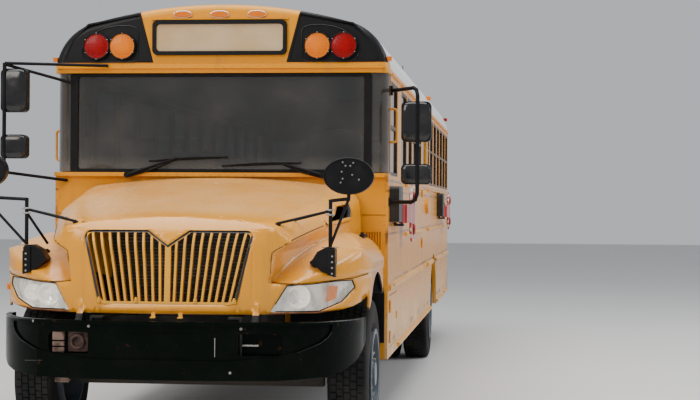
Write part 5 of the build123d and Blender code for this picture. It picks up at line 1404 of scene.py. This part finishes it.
def dress_headlamps():
    """Clear covers over bright housings with round reflectors and bulbs, gaskets, and one amber chamber."""
    source = frame["nodes"]["headlamps"].data
    lens = skin_of(source)

    def shell(front):
        """Front lens of the lamps' solid, or all the rest of it."""
        made = bmesh.new()
        made.from_mesh(source)
        bmesh.ops.remove_doubles(made, verts=made.verts, dist=1e-5)
        made.normal_update()
        drop = []
        for face in made.faces:
            outward = face.normal.y < -0.35 and abs(face.normal.z) < 0.6
            if outward != front:
                drop.append(face)
        bmesh.ops.delete(made, geom=drop, context="FACES")
        return mesh_from(made, "lamp")
    cover = add_piece("headlamp_covers", shell(True), "lamp_clear", "hood",
                      replaces=["headlamps"])
    thicken(cover, 0.003)
    housing = add_piece("headlamp_housings", shell(False), "lamp_shell", "hood")
    thicken(housing, 0.002)

    def bowls(made):
        for side in (-1, 1):
            for x, z, radius in LAMP_BOWLS:
                if side > 0 and x > 0.9:
                    continue
                y = seen(lens, (side * x, AHEAD, z), BACK)[0].y + 0.022
                profile = [(-0.002, radius), (0.018, radius * 0.8), (0.030, radius * 0.45), (0.034, 0.012),
                           (0.037, 0.012), (0.033, radius * 0.47), (0.021, radius * 0.84),
                           (0.0, radius * 1.05)]
                add_turned(made, profile, (side * x, y, z), 40, "Y")
                add_round(made, (side * x, y + 0.030, z), (side * x, y - 0.002, z), 0.011, 16)
    add_piece("headlamp_reflectors", mesh_of(bowls), "lamp_bowl", "hood")

    def turn_lamp(made):
        front = [seen(lens, (x, AHEAD, z), BACK)[0] for x, z in TURN_CHAMBER]
        near = [made.verts.new((point.x, point.y + 0.012, point.z)) for point in front]
        far = [made.verts.new((point.x, point.y + 0.040, point.z)) for point in front]
        add_walls(made, near, far)
    add_piece("turn_chamber", mesh_of(turn_lamp), "lamp_amber", "hood")
    edges = [front_line(lens, LAMP_EDGE, side, 0.001) for side in (-1, 1)]
    add_piece("headlamp_gaskets", tube_mesh(edges, 0.004), "black_rubber", "hood")


def thicken(thing, depth):
    """Gives an open skin its thickness, inwards."""
    wall = thing.modifiers.new("wall", "SOLIDIFY")
    wall.thickness = depth
    wall.offset = -1
    apply_modifiers(thing)


# Seats

SEAT_BANKS = (
    # side, first row behind the cowl, rows
    (-1, 1.5, 11),
    (1, 1.5, 3),
    (1, 4.99, 6),
)
BENCH_X = (0.228, 1.172)
DRIVER_X = (0.475, 0.925)
DRIVER_STATION = 0.62
FLOOR_Z = 1.08
SEAT_SEGMENTS = 7


def add_cushion(made, low, high, lean=0.0, power=5.0):
    """Crowned cushion between two corners: a rounded block whose faces swell; lean shifts its top along Y."""
    centre = Vector([(a + b) / 2 for a, b in zip(low, high)])
    half = Vector([abs(b - a) / 2 for a, b in zip(low, high)])
    grid = bmesh.new()
    bmesh.ops.create_cube(grid, size=2)
    bmesh.ops.subdivide_edges(grid, edges=grid.edges, cuts=SEAT_SEGMENTS, use_grid_fill=True)
    for vert in grid.verts:
        size = (abs(vert.co.x) ** power + abs(vert.co.y) ** power + abs(vert.co.z) ** power) ** (1 / power)
        spot = vert.co / size
        vert.co = centre + Vector((spot.x * half.x, spot.y * half.y, spot.z * half.z))
        vert.co.y += lean * (spot.z + 1) / 2
    add_all(made, grid)


def add_seat(made, x, y, base_top, back_foot, back_top):
    """Seat cushion and leaning back over an x span; its heights are above the floor."""
    add_cushion(made, (x[0], y + 0.005, FLOOR_Z + 0.27), (x[1], y + 0.43, FLOOR_Z + base_top))
    add_cushion(made, (x[0], y + 0.40, FLOOR_Z + back_foot), (x[1], y + 0.49, FLOOR_Z + back_top), lean=0.035)


def bench_rows():
    """Side and front Y of every bench."""
    rows = []
    for side, first, count in SEAT_BANKS:
        rows += [(side, aft(first + row * WINDOW_PITCH)) for row in range(count)]
    return rows


def dress_seats():
    """Padded benches and the driver's seat over their steel frames."""
    def benches(made):
        for side, y in bench_rows():
            add_seat(made, sorted((side * BENCH_X[0], side * BENCH_X[1])), y, 0.41, 0.36, 1.01)
    seats = add_piece("bench_cushions", mesh_of(benches, 60), "seat_vinyl", "body",
                      replaces=["passenger_seats"])

    def driver(made):
        add_seat(made, DRIVER_X, aft(DRIVER_STATION), 0.42, 0.38, 1.17)
    seat = add_piece("driver_cushions", mesh_of(driver, 60), "seat_vinyl", "body",
                     replaces=["driver_seat"])

    def frames(made):
        for side, y in bench_rows():
            for leg in (0.06, 0.40):
                x = sorted((side * 0.30, side * 0.33))
                add_box(made, (x[0], y + leg, FLOOR_Z), (x[1], y + leg + 0.03, FLOOR_Z + 0.28))
            x = sorted((side * 0.24, side * BENCH_X[1]))
            for bar in (0.07, 0.38):
                add_box(made, (x[0], y + bar, FLOOR_Z + 0.25), (x[1], y + bar + 0.03, FLOOR_Z + 0.275))
        y = aft(DRIVER_STATION)
        add_box(made, (0.55, y + 0.08, FLOOR_Z), (0.85, y + 0.38, FLOOR_Z + 0.28))
    add_piece("seat_frames", mesh_of(frames), "cast_iron", "body")


# Lamps, wipers, mirrors and stop arms

FIELD_LINE = ((0.612, 2.925), (0.660, 2.940), (0.747, 2.941), (0.830, 2.928), (0.888, 2.905), (0.955, 2.862),
              (1.002, 2.810), (1.013, 2.770), (1.006, 2.730), (0.985, 2.698), (0.950, 2.680), (0.910, 2.675),
              (0.625, 2.679), (0.602, 2.700), (0.596, 2.897))
LAMP_X = {"amber": 0.71, "red": 0.90}
LAMP_Z = 2.79
SCREWS = 6
SCREW_RING_R = 0.0935


def dress_lamps():
    """Rims, screws and domes of the warning lamps, marker rims, outlines of lamp fields and rear lamps."""
    rims, screws = [], []
    for side in (-1, 1):
        for x in LAMP_X.values():
            rims += [(side * x, CAP_FRONT_Y, -1), (side * x, REAR_Y, 1)]

    def build(made):
        for x, y, way in rims:
            profile = [(0, 0.089), (way * 0.034, 0.089), (way * 0.036, 0.093), (way * 0.034, 0.098),
                       (0, 0.100)]
            add_turned(made, profile, (x, y, LAMP_Z), 48, "Y")
    add_piece("warning_lamp_rims", mesh_of(build), "black_rubber", "body")
    for x, y, way in rims:
        for screw_x, z in circle((x, LAMP_Z), SCREW_RING_R, SCREWS, 0.5):
            foot = y + way * 0.036
            screws.append(([(screw_x, foot, z), (screw_x, foot + way * 0.001, z)], (0, way, 0)))
    studs("warning_lamp_screws", screws, "rivet", 1.0, 0.004, 0.002, "zinc", "body")

    for word, lamp_x in LAMP_X.items():
        def domes(made):
            for x, y, way in rims:
                profile = [(way * 0.030, 0.078), (way * 0.034, 0.060), (way * 0.036, 0.035),
                           (way * 0.037, 0.0005), (way * 0.029, 0.0005), (way * 0.028, 0.078)]
                if abs(x) == lamp_x:
                    add_turned(made, profile, (x, y, LAMP_Z), 40, "Y")
        add_piece(word + "_lens_domes", mesh_of(domes, 30), "lamp_" + word, "body")

    def rings_mesh(rings, radius):
        return tube_mesh([ring + ring[:1] for ring in rings], radius)

    def upright_ring(y, centre, size, steps):
        return [(x, y, z) for x, z in ellipse(centre, size, steps)]
    rings = []
    for x in (-0.27, 0.0, 0.27):
        rings.append(upright_ring(CAP_FRONT_Y - 0.012, (x, 3.018), (0.132, 0.048), 32))
        rings.append(upright_ring(REAR_Y + 0.012, (x, 3.020), (0.124, 0.060), 32))
    add_piece("marker_rims", rings_mesh(rings, 0.0035), "chrome", "body")
    rings = []
    for side in (-1, 1):
        for x, z, radius in ((0.84, 1.52, 0.092), (1.03, 1.52, 0.055), (0.84, 1.30, 0.092)):
            rings.append(upright_ring(REAR_Y + 0.014, (side * x, z), (radius * 2, radius * 2), 40))
        rings.append([(side * x, CAP_FRONT_Y - 0.0065, z) for x, z in FIELD_LINE])
    add_piece("lamp_field_lines", rings_mesh(rings, 0.0028), "bumper_lip", "body")


WIPER_BARS = (
    # pivot, arm end, blade start and blade end in the front view
    ((-0.674, 1.862), (-0.307, 1.984), (-0.513, 1.962), (0.058, 1.992)),
    ((0.755, 1.862), (0.465, 1.944), (0.022, 1.928), (0.595, 1.951)),
)
WIPER_Y = COWL_Y - 0.052


def dress_wipers():
    """Second bar of each wiper arm, its spring cover and the rubber of its blade."""
    lines = []
    thick = []
    for pivot, end, start, stop in WIPER_BARS:
        pivot, end, start, stop = (Vector((x, WIPER_Y, z)) for x, z in (pivot, end, start, stop))
        drop = Vector((0, 0, -0.022))
        lines.append([pivot + drop * 0.8, pivot.lerp(end, 0.55) + drop, end + Vector((0, 0.004, -0.004))])
        thick.append([pivot, pivot.lerp(end, 0.12), pivot.lerp(end, 0.34)])
        blade = [start.lerp(stop, part) + Vector((0, 0.006, 0.010 * math.sin(math.pi * part)))
                 for part in (0.02, 0.2, 0.4, 0.6, 0.8, 0.98)]
        lines.append(blade)
    add_piece("wiper_bars", tube_mesh(lines, 0.006), "mirror_black", "body")
    add_piece("wiper_springs", tube_mesh(thick, 0.014), "mirror_black", "body")


MIRROR_HEADS = (
    # x span, z span, Y of the mirror's tube
    ((1.319, 1.530), (2.100, 2.385), aft(-0.15)),
    ((1.319, 1.530), (1.800, 1.944), aft(-0.15)),
    ((-1.530, -1.340), (2.300, 2.610), aft(-0.33)),
    ((-1.530, -1.340), (1.970, 2.140), aft(-0.33)),
)
MIRROR_BACK = 0.085
ANTENNA = ((1.0, 0.505, 2.925), (1.0, 0.515, 3.040))


def dress_mirrors():
    """Glossy shell and rear glass of each mirror head, and the antenna."""
    def glasses(made):
        for x, z, y in MIRROR_HEADS:
            centre = ((x[0] + x[1]) / 2, (z[0] + z[1]) / 2)
            size = (x[1] - x[0] - 0.03, z[1] - z[0] - 0.03)
            back = y + MIRROR_BACK
            add_prism(made, rounded(centre, size, 0.025), back - 0.002, back + 0.002)
    add_piece("mirror_glasses", mesh_of(glasses), "chrome", "body")

    def shells(made):
        for x, z, y in MIRROR_HEADS:
            low = (x[0] + 0.001, y - 0.006, z[0] + 0.001)
            add_cushion(made, low, (x[1] - 0.001, y + 0.078, z[1] - 0.001))
    add_piece("mirror_shells", mesh_of(shells, 60), "mirror_gloss", "body")
    add_piece("antenna", tube_mesh([ANTENNA], 0.004), "black_rubber", "body")


STOP_ARMS = (
    # body, x of the blade's middle, Y and z of its centre
    ("stop_arm_front", 1.307, aft(1.30), 1.59),
    ("stop_arm_rear", 1.307, aft(7.96), 1.60),
)
BLADE_HALF = 0.220
BLADE_T = 0.016


def octagon(y, z, apothem):
    """Outline of the stop blade in the side view."""
    return circle((y, z), apothem / math.cos(math.pi / 8), 8, 0.5)


def dress_stop_arms():
    """White borders, edge stripes and lamps on both sides of the blank blades."""
    for body, x, y, z in STOP_ARMS:
        def border(made):
            for way in (-1, 1):
                face_x = x + way * BLADE_T / 2
                outer = octagon(y, z, BLADE_HALF - 0.004)
                inner = octagon(y, z, BLADE_HALF - 0.018)
                for index in range(8):
                    after = (index + 1) % 8
                    quad = (outer[index], outer[after], inner[after], inner[index])
                    add_prism(made, quad, face_x - 0.0005, face_x + way * 0.0012, "YZ")
            edge = octagon(y, z, BLADE_HALF)
            for index in range(8):
                start, end = Vector(edge[index]), Vector(edge[(index + 1) % 8])
                out = ((start + end) / 2 - Vector((y, z))).normalized() * 0.0015
                for part in (0.15, 0.55):
                    low, high = start.lerp(end, part), start.lerp(end, part + 0.22)
                    quad = (low, high, high + out, low + out)
                    add_prism(made, [tuple(point) for point in quad], x - BLADE_T / 2, x + BLADE_T / 2, "YZ")
        add_piece(body + "_border", mesh_of(border), "border_white", body)

        def lamps(made):
            for up in (-0.125, 0.125):
                for way in (-1, 1):
                    face_x = x + way * BLADE_T / 2
                    profile = [(0, 0.044), (way * 0.010, 0.044), (way * 0.016, 0.030), (way * 0.018, 0.0005),
                               (0, 0.0005)]
                    add_turned(made, profile, (face_x, y, z + up), 28)
        add_piece(body + "_lamps", mesh_of(lamps), "lamp_red", body)


set_camera()
set_studio()
dress_nodes()
dress_wheels()
dress_shell()
dress_bonnet()
dress_bumper()
dress_headlamps()
dress_seats()
dress_lamps()
dress_cowl()
dress_intake()
dress_mirrors()
dress_wipers()
dress_stop_arms()
